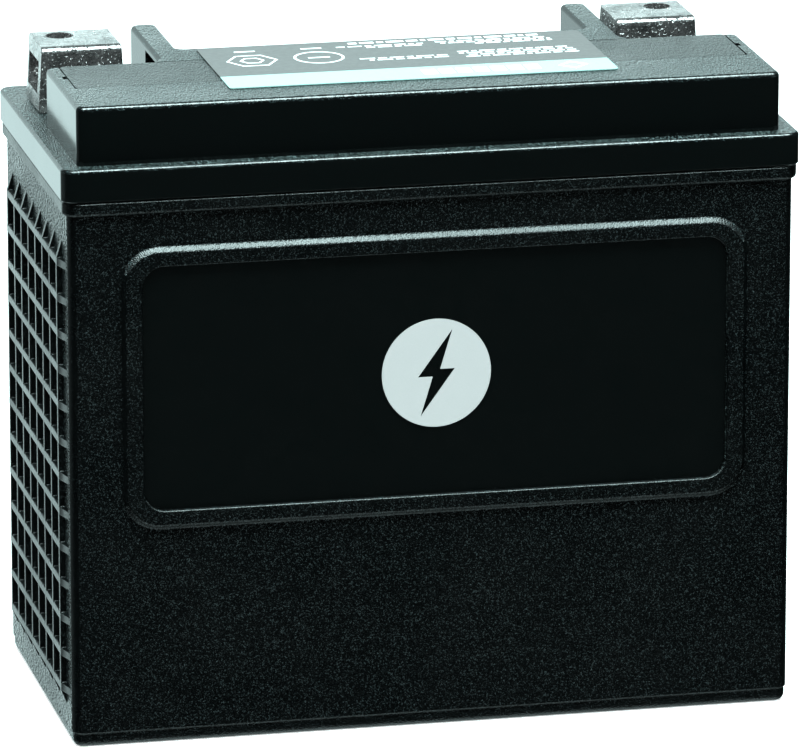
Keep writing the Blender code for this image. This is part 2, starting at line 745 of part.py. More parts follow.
def post_ring(bm, side):
    """Rubber ring in the groove round the post."""
    middle_r = (RING_GROOVE_R + POST_R) / 2
    middle_z = sum(RING_GROOVE_Z) / 2
    loops = []
    for step in range(RING_STEPS):
        angle = 2 * math.pi * step / RING_STEPS
        radius = middle_r + RING_SECTION_R * math.cos(angle)
        height = middle_z + RING_SECTION_R * math.sin(angle)
        loops.append(placed(circle(radius, (post_x(side), POST_Y)), height, "XY"))
    hoop(bm, loops)


def post_seal(bm, side):
    """Cured epoxy in the well round the post."""
    centre = (post_x(side), POST_Y)
    low, high = LEDGE_Z - SEAL_DEPTH + GAP, LEDGE_Z - GAP / 3
    inner, outer = POST_R + GAP, SEAL_R - GAP
    hoop(bm, [placed(circle(inner, centre), low, "XY"), placed(circle(outer, centre), low, "XY"),
              placed(circle(outer, centre), high, "XY"), placed(circle(inner, centre), high, "XY")])


# ---------------------------------------------------------------- plate packs
def plate_offsets(positive):
    """X places of one group's plates about the cell's centre; the outermost are negative."""
    count = POSITIVE_PLATES if positive else POSITIVE_PLATES + 1
    return spread(count, 2 * PLATE_PITCH)


def plate_outline(tab_y):
    """Plate seen along X, with the tab that rises into its strap."""
    low, high = PLATES_Z
    top = STRAP_Z[0] + BITE
    tab_low, tab_high = tab_y - TAB_HALF_Y, tab_y + TAB_HALF_Y
    return [Vector(point) for point in
            ((-PLATES_HALF_Y, low), (PLATES_HALF_Y, low), (PLATES_HALF_Y, high), (tab_high, high),
             (tab_high, top), (tab_low, top), (tab_low, high), (-PLATES_HALF_Y, high))]


def plates(bm, index, positive, tab_y):
    thickness = POSITIVE_THICKNESS if positive else NEGATIVE_THICKNESS
    for offset in plate_offsets(positive):
        x = cell_centre(index) + offset
        prism(bm, plate_outline(tab_y), x - thickness / 2, x + thickness / 2, "YZ")


def strap(bm, index, strap_y, upright_side):
    """Cast bar over the tabs; beside a partition it turns up for the joint to the next cell."""
    half = cell_width() / 2 - 2 * GAP
    centre = cell_centre(index)
    profile = [(centre - half, STRAP_Z[0]), (centre + half, STRAP_Z[0]), (centre + half, STRAP_Z[1]),
               (centre - half, STRAP_Z[1])]
    if upright_side > 0:
        profile[2:3] = [(centre + half, TOMBSTONE_Z), (centre + half - TOMBSTONE, TOMBSTONE_Z),
                        (centre + half - TOMBSTONE, STRAP_Z[1])]
    if upright_side < 0:
        profile[3:4] = [(centre - half + TOMBSTONE, STRAP_Z[1]),
                        (centre - half + TOMBSTONE, TOMBSTONE_Z), (centre - half, TOMBSTONE_Z)]
    prism(bm, [Vector(point) for point in profile], strap_y - STRAP_HALF_Y, strap_y + STRAP_HALF_Y, "XZ")


def build_plate_group(index, positive, finish):
    """The left terminal is positive, so each cell's positive strap joins towards the left."""
    upright_side = -1 if positive else 1
    strap_y = STRAP_Y if (index % 2 == 0) == positive else -STRAP_Y
    at_terminal = (positive and index == 0) or (not positive and index == CELLS - 1)
    if at_terminal:
        upright_side = 0
    kind = "positive" if positive else "negative"
    group = make(f"{kind}_plate_group_{index + 1}",
                 lambda bm: strap(bm, index, strap_y, upright_side), finish)
    join(group, lambda bm: plates(bm, index, positive, strap_y))
    finish_shading(group)
    return group


def glass_mat(bm, index):
    """One mat folded to and fro between the plates."""
    passes = 2 * POSITIVE_PLATES
    path = []
    for number, offset in enumerate(spread(passes, PLATE_PITCH)):
        x = cell_centre(index) + offset
        ends = (MAT_HALF_Y, -MAT_HALF_Y) if number % 2 == 0 else (-MAT_HALF_Y, MAT_HALF_Y)
        path += [Vector((x, y)) for y in ends]
    prism(bm, folded_strip(path, MAT_THICKNESS), *MAT_Z)


def cell_connector(bm, index):
    """Weld plug between two straps, through the partition."""
    reach = PARTITION / 2 + GAP
    cylinder(bm, CONNECTOR_R, (connector_y(index), CONNECTOR_Z),
             partition_x(index) - reach, partition_x(index) + reach, "YZ")


# ---------------------------------------------------------------- films and label
def panel_film(bm, side):
    outline = rectangle(*FRAME_INNER, FRAME_INNER_RADIUS, FILM_MARGIN, (FRAME_X, FRAME_Z), FRAME_STEPS)
    back = CASE_HALF_Y - PANEL_DEPTH + FILM_GAP
    prism(bm, outline, side * back, side * (back + FILM_THICKNESS), "XZ")


def film_face_y():
    return CASE_HALF_Y - PANEL_DEPTH + FILM_GAP + FILM_THICKNESS


def emblem_disc(bm):
    back = -(film_face_y() + FILM_GAP)
    prism(bm, circle(EMBLEM_R, (FRAME_X, FRAME_Z), EMBLEM_STEPS), back, back - EMBLEM_THICKNESS, "XZ")


def emblem_flash(bm):
    """Lightning flash cut through the disc, the usual sign for electricity."""
    outline = [Vector((FRAME_X + x, FRAME_Z + z)) for x, z in FLASH_HALF]
    outline += [Vector((FRAME_X - x, FRAME_Z - z)) for x, z in FLASH_HALF]
    face = -film_face_y()
    prism(bm, outline[::-1], face + BITE, face - BITE, "XZ")


def top_label(bm):
    half_x = (LABEL_X[1] - LABEL_X[0]) / 2
    half_y = (LABEL_Y[1] - LABEL_Y[0]) / 2
    centre = (sum(LABEL_X) / 2, sum(LABEL_Y) / 2)
    low = TOP_Z + FILM_GAP
    prism(bm, rectangle(half_x, half_y, LABEL_CORNER, centre=centre), low, low + LABEL_THICKNESS)


# ---------------------------------------------------------------- the battery
def build_vents(rubber, plastic, frit):
    make("vent_cover_plate", vent_plate, plastic)
    for index in range(CELLS):
        place = (cell_centre(index), PORT_Y)
        make(f"valve_cap_{index + 1}", lambda bm, place=place: valve_cap(bm, place), rubber,
             origin=(*place, CAP_Z))
    for name, side in (("left", -1), ("right", 1)):
        make(f"flame_arrestor_{name}", lambda bm, side=side: flame_arrestor(bm, side), frit)


def build_terminals(lead, rubber, epoxy):
    for name, side, outer_x in (("left", -1, LUG_LEFT_OUTER), ("right", 1, LUG_RIGHT_OUTER)):
        build_lug(f"terminal_lug_{name}", outer_x, side, lead)
        make(f"terminal_post_{name}", lambda bm, side=side: terminal_post(bm, side), lead)
        make(f"post_seal_ring_{name}", lambda bm, side=side: post_ring(bm, side), rubber)
        make(f"post_epoxy_{name}", lambda bm, side=side: post_seal(bm, side), epoxy)


def build_cells(positive, negative, mat, lead):
    for index in range(CELLS):
        build_plate_group(index, True, positive)
        build_plate_group(index, False, negative)
        make(f"glass_mat_{index + 1}", lambda bm, index=index: glass_mat(bm, index), mat, smooth=False)
    for index in range(CELLS - 1):
        make(f"cell_connector_{index + 1}", lambda bm, index=index: cell_connector(bm, index), lead)


def build_skins(film, silver, label):
    make("front_panel_film", lambda bm: panel_film(bm, -1), film)
    make("rear_panel_film", lambda bm: panel_film(bm, 1), film)
    emblem = make("front_emblem", emblem_disc, silver)
    cut(emblem, emblem_flash)
    finish_shading(emblem)
    make("top_label", top_label, label)


def build_sealant(finish):
    width = RIM_GROOVE_WIDTH - 2 * GAP
    low = RIM_Z - RIM_GROOVE_DEPTH + GAP
    make("rim_sealant", lambda bm: rim_ring(bm, width, low, RIM_Z), finish)


def main():
    for item in list(bpy.data.objects):
        bpy.data.objects.remove(item)
    build_container(material("case_plastic", CASE_BLACK, 0.62))
    build_cover(material("cover_plastic", CASE_BLACK, 0.50))
    build_sealant(material("sealant", SEALANT_BLACK, 0.70))
    rubber = material("rubber", RUBBER_BLACK, 0.80)
    lead = material("lead", LEAD_GREY, 0.38, 0.9)
    build_vents(rubber, material("vent_plate_plastic", CASE_BLACK, 0.45),
                material("frit", FRIT_WHITE, 0.90))
    build_terminals(lead, rubber, material("epoxy", EPOXY_BLACK, 0.25))
    build_cells(material("positive_plate", PLATE_BROWN, 0.85),
                material("negative_plate", PLATE_GREY, 0.75, 0.2),
                material("glass_mat", GLASS_WHITE, 0.95), lead)
    build_skins(material("panel_film", GLOSS_BLACK, 0.12),
                material("emblem_foil", FOIL_SILVER, 0.40, 0.3),
                material("label_paper", LABEL_GREY, 0.45))


main()
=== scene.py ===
import itertools
import math

import bmesh
import bpy
from mathutils import Matrix, Vector


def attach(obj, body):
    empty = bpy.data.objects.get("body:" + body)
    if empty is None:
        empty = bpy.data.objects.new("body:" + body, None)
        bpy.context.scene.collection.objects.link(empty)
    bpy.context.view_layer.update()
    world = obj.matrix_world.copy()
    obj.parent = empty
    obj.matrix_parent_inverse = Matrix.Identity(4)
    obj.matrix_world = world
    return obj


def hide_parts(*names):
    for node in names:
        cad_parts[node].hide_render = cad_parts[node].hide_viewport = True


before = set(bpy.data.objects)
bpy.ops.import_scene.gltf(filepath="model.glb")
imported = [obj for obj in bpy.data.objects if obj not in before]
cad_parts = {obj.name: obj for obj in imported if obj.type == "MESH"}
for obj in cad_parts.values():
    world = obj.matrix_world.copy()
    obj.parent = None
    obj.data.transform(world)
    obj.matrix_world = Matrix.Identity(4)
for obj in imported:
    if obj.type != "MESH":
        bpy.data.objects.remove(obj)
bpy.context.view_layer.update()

# Looks of the sealed motorcycle battery. Metres, +Z up, the emblem side looks along -Y.
ROOT = "battery"

# ---------------------------------------------------------------- sizes, most of them the CAD part's too
GAP = 0.0003
FILM_GAP = 0.0001
BITE = 0.0010
LENGTH = 0.1750
WIDTH = 0.0870
HEIGHT = 0.1550

CASE_HALF_X = 0.0861
CASE_HALF_Y = 0.04215
CASE_RADIUS = 0.0028
BASE_RADIUS = 0.0018
BASE_INSET = 0.00035
BASE_STEP_Z = 0.0031
STEP_LINE = 0.0002
COLLAR_OUT = 0.0011
COLLAR_Z = 0.1282
RIM_Z = 0.13115
RIM_EDGE = 0.0003
WALL_X = 0.0028
WALL_Y = 0.0027
FLOOR = 0.0030
PARTITION = 0.0016
CELLS = 6
CELL_CORNER = 0.0012
RIM_GROOVE_WIDTH = 0.0015
RIM_GROOVE_DEPTH = 0.0016
RIM_GROOVE_HALF_X = 0.0855
RIM_GROOVE_HALF_Y = 0.0415
RIM_GROOVE_CORNER = 0.0016

RIB_HEIGHT = 0.0013
RIB_PITCH_Y = 0.0094
RIB_COUNT_Y = 8
RIB_WIDTH_Y = 0.0015
RIB_PITCH_Z = 0.00855
RIB_COUNT_Z = 13
RIB_WIDTH_Z = 0.0019
RIB_FIRST_Z = 0.0128
RIB_RUN_DOWN = 0.0036
RIB_RUN_UP = 0.0050
RIB_RUN_SIDE = 0.0057
RIB_DRAFT = 0.00018
RIB_ROUND = 0.00028
RIB_ROOT = 0.0003
RIB_SINK = 0.0013
RIB_MARGIN = 0.0008

FRAME_X = 0.0005
FRAME_Z = 0.0860
FRAME_FOOT = (0.0746, 0.0341)
FRAME_TOP = (0.0733, 0.0324)
FRAME_INNER = (0.0696, 0.0293)
FRAME_FOOT_RADIUS = 0.0090
FRAME_INNER_RADIUS = 0.0052
FRAME_HEIGHT = 0.00115
FRAME_UNDERLAP = 0.00001
FRAME_EDGE_SHARE = 0.10
FRAME_EDGE_DROP = 0.0003
PANEL_DEPTH = 0.00045
PANEL_INSET = 0.00003
FILM_THICKNESS = 0.00025
FILM_INSET = 0.00012
FILM_EDGE = 0.00008

COVER_Z = RIM_Z + GAP
LEDGE_Z = 0.1391
TOP_Z = 0.1530
COVER_RADIUS = 0.0034
COVER_CORNER = 0.0020
COVER_EDGE = 0.00025
LEDGE_ROUND = 0.0008
TOP_ROUND = 0.0011
BAR_HALF_X = 0.0833
BAR_FRONT_Y = -0.0396
BAR_BACK_Y = 0.0020
BLOCK_BACK_Y = 0.0144
EAR_OUTER_X = 0.0558
EAR_INNER_X = 0.0495
EAR_BACK_Y = 0.0418
EAR_FILLET = 0.0042
EAR_RECESS_Y = (0.0066, 0.0216)
EAR_RECESS_Z = 0.1513
EAR_RECESS_DEPTH = 0.0032
COVER_WALL = 0.0026
SKIRT_INSET = 0.0064

PLATE_HALF_X = 0.0800
PLATE_FRONT_Y = -0.0202
PLATE_BACK_Y = 0.0017
PLATE_THICKNESS = 0.0018
PLATE_SEAM = 0.0003
PLATE_ROUND = 0.0001
PLATE_CORNER = 0.0010
SEAT_Z = TOP_Z - PLATE_THICKNESS - GAP
PLENUM_HALF_X = 0.0776
PLENUM_FRONT_Y = -0.0183
PLENUM_BACK_Y = -0.0007
PLENUM_Z = 0.1450
PORT_Y = -0.0095
CHIMNEY_R = 0.0050
CHIMNEY_BORE_R = 0.0033
CHIMNEY_Z = 0.1486
OUTLET_Y = (-0.0109, -0.0083)
OUTLET_X = 0.0812
ARRESTOR_POCKET = 0.0802
ARRESTOR_HALF_Y = 0.0030
ARRESTOR_Z = 0.1464

LUG_FRONT_Y = 0.0130
LUG_BACK_Y = 0.0304
LUG_WIDTH = 0.0191
LUG_OUTER = {-1: -0.0821, 1: 0.0761}
LUG_BASE_Z = LEDGE_Z + GAP
LUG_DRAFT = 0.0009
LUG_TOP_ROUND = 0.0018
LUG_EDGE = 0.0004
LUG_RIM = 0.00022
WINDOW_FLOOR_Z = 0.1434
WINDOW_TOP_Z = 0.1511
LUG_FRONT_WALL = 0.0031
LUG_BACK_WALL = 0.0018
LUG_INNER_WALL = 0.0046
BOLT_HOLE_R = 0.00325
BOLT_FROM_OUTER = 0.0064
BOLT_Y = 0.0254

POST_X = {-1: -0.0720, 1: 0.0670}
POST_Y = 0.0220
POST_BORE_R = 0.0059
BOSS_R = 0.0098
BOSS_Z = 0.1318
SEAL_R = 0.0080
SEAL_DEPTH = 0.0014
RING_GROOVE_R = 0.0078
RING_GROOVE_Z = (0.1334, 0.1357)
MARK_SIZE = 0.0060
MARK_STROKE = 0.0012
MARK_HEIGHT = 0.0004
MARK_Y = 0.0370
CONNECTOR_Z = 0.1205
CONNECTOR_R = 0.0045
CONNECTOR_Y = 0.0225

LABEL_X = (-0.0455, 0.0470)
LABEL_Y = (-0.0289, 0.0117)
LABEL_BAND_Y = -0.0175
LABEL_THICKNESS = 0.0002
LABEL_CORNER = 0.0008
MARK_GAP = 0.00001
MARK_THICKNESS = 0.00004
WORD_LENGTHS = (0.0021, 0.0034, 0.0016, 0.0042, 0.0027, 0.0012, 0.0037)
ROW_SPACE = 0.0007
LABEL_ROWS = ((-0.0095, 0.0365, 0.0086, 0.0014), (-0.0130, 0.0080, 0.0058, 0.0007),
              (-0.0060, 0.0080, 0.0042, 0.0007), (0.0110, 0.0380, 0.0064, 0.0007),
              (0.0120, 0.0385, 0.0048, 0.0007), (0.0200, 0.0390, 0.0032, 0.0007),
              (-0.0100, 0.0110, -0.0070, 0.0007), (-0.0080, 0.0110, -0.0088, 0.0007),
              (0.0140, 0.0410, -0.0044, 0.0007), (0.0140, 0.0415, -0.0062, 0.0007),
              (0.0160, 0.0420, -0.0080, 0.0007), (0.0150, 0.0425, -0.0098, 0.0007))
SIGN_Y = -0.0030
SIGN_STROKE = 0.0006
SIGNS = ((-0.0350, 0.0062, 6), (-0.0350, 0.0030, 6), (-0.0190, 0.0060, 32))
SIGN_BAR = (0.0052, 0.0008)
UNDERLINES_X = (-0.0375, -0.0215)
UNDERLINE = (0.0050, 0.0008)
UNDERLINE_Y = 0.0060
TILES = 7
TILES_X = 0.0015
TILE_PITCH = 0.0041
TILE_WIDTH = 0.0033
TILE_Y = (-0.0252, -0.0205)
DIAMOND_X = 0.0375
DIAMOND_Y = -0.0229
DIAMOND_R = 0.0036
DIAMOND_STROKE = 0.0009
EMBLEM_R = 0.0130
EMBLEM_THICKNESS = 0.0002
FLASH_HALF = ((-0.0044, -0.0009), (-0.0009, -0.0009), (-0.0038, -0.0104))

SHARPEST = 0.00004
ROUND_STEPS = 40
CORNER_STEPS = 8
FRAME_STEPS = 14
FRAME_SLOPE_STEPS = 8
EDGE_STEPS = 3
BASE_STEPS = 6
RIB_STEPS = 2
LUG_END_STEPS = 4
LUG_ROUND_STEPS = 10
EMBLEM_STEPS = 96
FLOOR_STEPS = 64

# ---------------------------------------------------------------- camera, lights and floor
AZIMUTH = math.radians(12.409)
ELEVATION = math.radians(15.290)
DISTANCE = 2.0302
LOOK_AT = Vector((0.001114, 0.0, 0.074492))
SENSOR_WIDTH = 36.0
LENS = 384.24
CLIP = (0.1, 30.0)
STUDIO_TINT = (0.76, 1.0, 1.0)
OVERHEAD_PLACE = (0.03, -0.34, 1.06)
OVERHEAD_TARGET = (0.0, 0.0, 0.10)
OVERHEAD_SIZE = (1.0, 0.42)
OVERHEAD_POWER = 50.0
BACKDROP_AXIS = (-0.06, 0.998, 0.0)
BACKDROP_REACH = (0.80, 0.96)
BACKDROP_GLOW = (0.0, 1.62)
FILL_AXIS = (-0.30, 0.95, 0.0)
FILL_REACH = (0.12, 0.62)
FILL_GLOW = (0.012, 0.25)
BELOW_AXIS = (0.0, 0.0, -1.0)
BELOW_REACH = (0.74, 0.97)
BELOW_GLOW = (0.0, 2.0)
FLOOR_PROFILE = ((4.0, 0.0), (4.6, 0.15), (5.0, 0.6), (5.1, 1.4), (5.1, 6.0))
FLOOR_TONES = ((0.85, 0.87, 0.87), (0.88, 0.90, 0.90))
FLOOR_EMISSION = (0.97, 1.0, 1.0, 1.0)
FLOOR_GLOW = 0.50

# ---------------------------------------------------------------- finishes
FLANK_ACROSS = 0.35
SLANTED = 0.25
SIDEWAYS = 0.7
LEVEL = 0.97
TILTED_UP = 0.10
GRAIN_STRETCH = 0.25
BLACK = (0.0003, 0.0006, 0.0007)
# Painted glints: the tone of the pale specks, their scale against the grain, and where they reach full
# tone.
PAINTED_GLINT = (0.0260, 0.0400, 0.0420)
GLINT_SCALE = 1.25
GLINTS_FULL = 0.80
HANDLING_SCALE = 28.0
MIDDLE = (0.3, 0.7)
COATED_WEAR = 0.04
LEAD_METALLIC = 0.93
LEAD_WEAR = (0.12, 0.16)
LEAD_GRAIN_SCALE = 900.0
LEAD_CLOUD_SCALE = 160.0
LEAD_PIT_SCALE = 1700.0
LEAD_PITS = (0.64, 0.80)
LEAD_PIT_WEIGHT = 14.0


# ---------------------------------------------------------------- camera
def add_camera():
    """A long lens from the front left, looking slightly down."""
    back = Vector((-math.sin(AZIMUTH) * math.cos(ELEVATION), -math.cos(AZIMUTH) * math.cos(ELEVATION),
                   math.sin(ELEVATION)))
    data = bpy.data.cameras.new("camera")
    data.sensor_width = SENSOR_WIDTH
    data.lens = LENS
    data.clip_start, data.clip_end = CLIP
    camera = bpy.data.objects.new("camera", data)
    camera.location = LOOK_AT + DISTANCE * back
    camera.rotation_mode = "QUATERNION"
    camera.rotation_quaternion = (-back).to_track_quat("-Z", "Y")
    bpy.context.scene.collection.objects.link(camera)
    bpy.context.scene.camera = camera


# ---------------------------------------------------------------- outlines
def rounded_outline(corners, inset=0.0, steps=CORNER_STEPS):
    """Counter-clockwise outline with square corners given as (x, y, radius), drawn in by inset."""
    points = []
    count = len(corners)
    for index, (x, y, radius) in enumerate(corners):
        corner = Vector((x, y))
        came = (corner - Vector(corners[index - 1][:2])).normalized()
        goes = (Vector(corners[(index + 1) % count][:2]) - corner).normalized()
        came_left = Vector((-came.y, came.x))
        goes_left = Vector((-goes.y, goes.x))
        turn = 1.0 if came.cross(goes) > 0 else -1.0
        corner = corner + inset * (came_left + goes_left)
        bend = max(radius - turn * inset, SHARPEST)
        start = corner - came * bend
        centre = start + turn * bend * came_left
        for step in range(steps + 1):
            spin = Matrix.Rotation(turn * (math.pi / 2) * step / steps, 2)
            points.append(centre + spin @ (start - centre))
    return points


def rectangle(half_x, half_y, radius, inset=0.0, centre=(0.0, 0.0), steps=CORNER_STEPS):
    cx, cy = centre
    corners = [(cx - half_x, cy - half_y, radius), (cx + half_x, cy - half_y, radius),
               (cx + half_x, cy + half_y, radius), (cx - half_x, cy + half_y, radius)]
    return rounded_outline(corners, inset, steps)


def box_outline(x_range, y_range):
    (x0, x1), (y0, y1) = sorted(x_range), sorted(y_range)
    return [Vector((x0, y0)), Vector((x1, y0)), Vector((x1, y1)), Vector((x0, y1))]


def circle(radius, centre=(0.0, 0.0), steps=ROUND_STEPS):
    turns = (2 * math.pi * step / steps for step in range(steps))
    return [Vector((centre[0] + radius * math.cos(turn), centre[1] + radius * math.sin(turn)))
            for turn in turns]


def placed(points, level, plane):
    """Outline points set into space: the plane's two axes, and the level on the third."""
    if plane == "XY":
        return [Vector((u, v, level)) for u, v in points]
    if plane == "XZ":
        return [Vector((u, level, v)) for u, v in points]
    return [Vector((level, u, v)) for u, v in points]


def between(first, second, share):
    return [a.lerp(b, share) for a, b in zip(first, second)]


def quarter_turn(steps):
    """Angles from nothing to a right angle, in even steps."""
    return [math.pi / 2 * step / steps for step in range(steps + 1)]


def round_over(top, radius, steps=7):
    """(level, inset) pairs that round an upper edge."""
    return [(top - radius * (1 - math.sin(angle)), radius * (1 - math.cos(angle)))
            for angle in quarter_turn(steps)]


# ---------------------------------------------------------------- solids
def skin(bm, loops, closed):
    rings = [[bm.verts.new(point) for point in loop] for loop in loops]
    count = len(rings[0])
    pairs = list(zip(rings, rings[1:]))
    if closed:
        pairs.append((rings[-1], rings[0]))
    made = []
    for low, high in pairs:
        for i in range(count):
            j = (i + 1) % count
            made.append(bm.faces.new((low[i], low[j], high[j], high[i])))
    if not closed:
        made.append(bm.faces.new(rings[0][::-1]))
        made.append(bm.faces.new(rings[-1]))
    bmesh.ops.recalc_face_normals(bm, faces=made)


def loft(bm, loops):
    """Closed solid through loops with equal point counts, capped at both ends."""
    skin(bm, loops, closed=False)


def hoop(bm, loops):
    """Closed ring through loops that follow each other round its cross-section."""
    skin(bm, loops, closed=True)


def prism(bm, points, low, high, plane="XY"):
    loft(bm, [placed(points, low, plane), placed(points, high, plane)])


def block(bm, x_range, y_range, z_range):
    prism(bm, box_outline(x_range, y_range), *sorted(z_range))


def cylinder(bm, radius, centre, low, high, plane="XY", steps=ROUND_STEPS):
    prism(bm, circle(radius, centre, steps), low, high, plane)


def turned(bm, profile, centre, steps=ROUND_STEPS):
    """Solid of revolution about a vertical line, from (radius, z) points, bottom to top."""
    loft(bm, [placed(circle(radius, centre, steps), z, "XY") for radius, z in profile])


def make(name, build):
    bm = bmesh.new()
    build(bm)
    mesh = bpy.data.meshes.new(name)
    bm.to_mesh(mesh)
    bm.free()
    item = bpy.data.objects.new(name, mesh)
    bpy.context.scene.collection.objects.link(item)
    return item


def combine(item, build, operation):
    """Join the built shape to the object, or cut it out, and keep only the result."""
    tool = make("tool", build)
    change = item.modifiers.new(operation.lower(), "BOOLEAN")
    change.operation = operation
    change.solver = "EXACT"
    change.object = tool
    bpy.context.view_layer.update()
    depsgraph = bpy.context.evaluated_depsgraph_get()
    result = bpy.data.meshes.new_from_object(item.evaluated_get(depsgraph))
    result.name = item.data.name
    item.modifiers.clear()
    item.data = result
    bpy.data.objects.remove(tool)


def join(item, build):
    combine(item, build, "UNION")


def cut(item, build):
    combine(item, build, "DIFFERENCE")


def finished(item, body, materials, nodes=(), choose=None, sharp=35.0):
    """Shade the piece, give it its materials, tie it to its body, and hide the nodes it stands for."""
    item.data.materials.clear()
    for finish in materials:
        item.data.materials.append(finish)
    for face in item.data.polygons:
        face.material_index = choose(face) if choose else 0
    item.data.shade_smooth()
    item.data.set_sharp_from_angle(angle=math.radians(sharp))
    weighting = item.modifiers.new("weighted", "WEIGHTED_NORMAL")
    weighting.keep_sharp = True
    weighting.weight = 80
    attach(item, body)
    if nodes:
        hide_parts(*nodes)
    return item


# ---------------------------------------------------------------- shared places
def cell_width():
    inside = 2 * (CASE_HALF_X - WALL_X)
    return (inside - (CELLS - 1) * PARTITION) / CELLS


def cell_centre(index):
    return (index - (CELLS - 1) / 2) * (cell_width() + PARTITION)


def partition_x(index):
    return (cell_centre(index) + cell_centre(index + 1)) / 2


def spread(count, pitch):
    return [(index - (count - 1) / 2) * pitch for index in range(count)]


def rib_heights():
    return [RIB_FIRST_Z + index * RIB_PITCH_Z for index in range(RIB_COUNT_Z)]


# ---------------------------------------------------------------- container
def container_body(bm):
    """Rounded foot, a fine line above it, plain walls, and a collar that flares out under the rim."""
    levels = [(BASE_RADIUS * (1 - math.cos(angle)), BASE_INSET + BASE_RADIUS * (1 - math.sin(angle)))
              for angle in quarter_turn(BASE_STEPS)]
    levels += [(BASE_STEP_Z - STEP_LINE, BASE_INSET), (BASE_STEP_Z, BASE_INSET + STEP_LINE / 2),
               (BASE_STEP_Z + STEP_LINE, BASE_INSET), (BASE_STEP_Z + 3 * STEP_LINE, 0.0)]
    collar = COLLAR_Z - COLLAR_OUT / 3
    levels += [(collar + COLLAR_OUT * (1 - math.cos(angle)), -COLLAR_OUT * math.sin(angle))
               for angle in quarter_turn(BASE_STEPS)]
    levels += [(RIM_Z - RIM_EDGE, -COLLAR_OUT), (RIM_Z, -COLLAR_OUT + RIM_EDGE)]
    loft(bm, [placed(rectangle(CASE_HALF_X, CASE_HALF_Y, CASE_RADIUS, inset), z, "XY")
              for z, inset in levels])


def rib_lines(centres, width):
    """Grid lines across the ribs, each with the height of the rib's rounded profile there."""
    lines = []
    half = width / 2
    for centre in centres:
        side = [(half - RIB_ROUND + RIB_ROUND * math.sin(angle),
                 RIB_HEIGHT - RIB_ROUND + RIB_ROUND * math.cos(angle))
                for angle in quarter_turn(RIB_STEPS)]
        side.append((half + RIB_DRAFT, -RIB_ROOT))
        lines += [(centre - offset, height) for offset, height in reversed(side)]
        lines += [(centre + offset, height) for offset, height in side]
    return lines


def with_run(lines, low_run, high_run):
    """Add the lines where the ribs have run down to the wall beyond the outermost ones."""
    low = lines[0][0] - low_run
    high = lines[-1][0] + high_run
    before = [(low - RIB_MARGIN, -RIB_ROOT), (low, -RIB_ROOT)]
    after = [(high, -RIB_ROOT), (high + RIB_MARGIN, -RIB_ROOT)]
    return before + lines + after


def mound(place, lines, low_run, high_run):
    """Height that the lattice may have at a place: full between the outer ribs, falling beyond."""
    low_edge = lines[0][0] + RIB_DRAFT
    high_edge = lines[-1][0] - RIB_DRAFT
    fall = RIB_HEIGHT + RIB_ROOT
    if place < low_edge:
        return RIB_HEIGHT - fall * (low_edge - place) / (low_run + RIB_DRAFT)
    if place > high_edge:
        return RIB_HEIGHT - fall * (place - high_edge) / (high_run + RIB_DRAFT)
    return RIB_HEIGHT


def lattice(bm, side):
    """Ribs as one height field over the wall, rooted just under it."""
    upright = rib_lines(spread(RIB_COUNT_Y, RIB_PITCH_Y), RIB_WIDTH_Y)
    level = rib_lines(rib_heights(), RIB_WIDTH_Z)
    across = with_run(upright, RIB_RUN_SIDE, RIB_RUN_SIDE)
    along = with_run(level, RIB_RUN_DOWN, RIB_RUN_UP)
    grid = []
    for y, y_height in across:
        row = []
        for z, z_height in along:
            upright_rib = min(y_height, mound(z, level, RIB_RUN_DOWN, RIB_RUN_UP))
            level_rib = min(z_height, mound(y, upright, RIB_RUN_SIDE, RIB_RUN_SIDE))
            height = max(upright_rib, level_rib, -RIB_ROOT)
            row.append(bm.verts.new((side * (CASE_HALF_X + height), y, z)))
        grid.append(row)
    rows, columns = len(grid), len(grid[0])
    made = []
    for i in range(rows - 1):
        for j in range(columns - 1):
            made.append(bm.faces.new((grid[i][j], grid[i + 1][j], grid[i + 1][j + 1], grid[i][j + 1])))
    border = [grid[i][0] for i in range(rows)] + [grid[-1][j] for j in range(1, columns)]
    border += [grid[i][-1] for i in range(rows - 2, -1, -1)]
    border += [grid[0][j] for j in range(columns - 2, 0, -1)]
    under = [bm.verts.new((side * (CASE_HALF_X - RIB_SINK), v.co.y, v.co.z)) for v in border]
    for i in range(len(border)):
        j = (i + 1) % len(border)
        made.append(bm.faces.new((border[i], border[j], under[j], under[i])))
    made.append(bm.faces.new(under))
    bmesh.ops.recalc_face_normals(bm, faces=made)


def raised_frame(bm, side):
    """Rounded-rectangle bead: a soft outer slope, a flat land and a crisp inner edge."""
    wall = CASE_HALF_Y - BITE
    centre = (FRAME_X, FRAME_Z)
    top_radius = FRAME_FOOT_RADIUS - (FRAME_FOOT[0] - FRAME_TOP[0])
    foot = rectangle(*FRAME_FOOT, FRAME_FOOT_RADIUS, centre=centre, steps=FRAME_STEPS)
    top = rectangle(*FRAME_TOP, top_radius, centre=centre, steps=FRAME_STEPS)
    inner = rectangle(*FRAME_INNER, FRAME_INNER_RADIUS, centre=centre, steps=FRAME_STEPS)
    loops = [placed(foot, side * wall, "XZ")]
    for step in range(FRAME_SLOPE_STEPS + 1):
        share = step / FRAME_SLOPE_STEPS
        rise = FRAME_HEIGHT * (1 - math.cos(math.pi * share)) / 2 - FRAME_UNDERLAP
        loops.append(placed(between(foot, top, share), side * (CASE_HALF_Y + rise), "XZ"))
    for angle in quarter_turn(EDGE_STEPS):
        share = 1 - FRAME_EDGE_SHARE * (1 - math.sin(angle))
        rise = FRAME_HEIGHT - FRAME_EDGE_DROP * (1 - math.cos(angle))
        loops.append(placed(between(top, inner, share), side * (CASE_HALF_Y + rise), "XZ"))
    loops.append(placed(inner, side * wall, "XZ"))
    hoop(bm, loops)


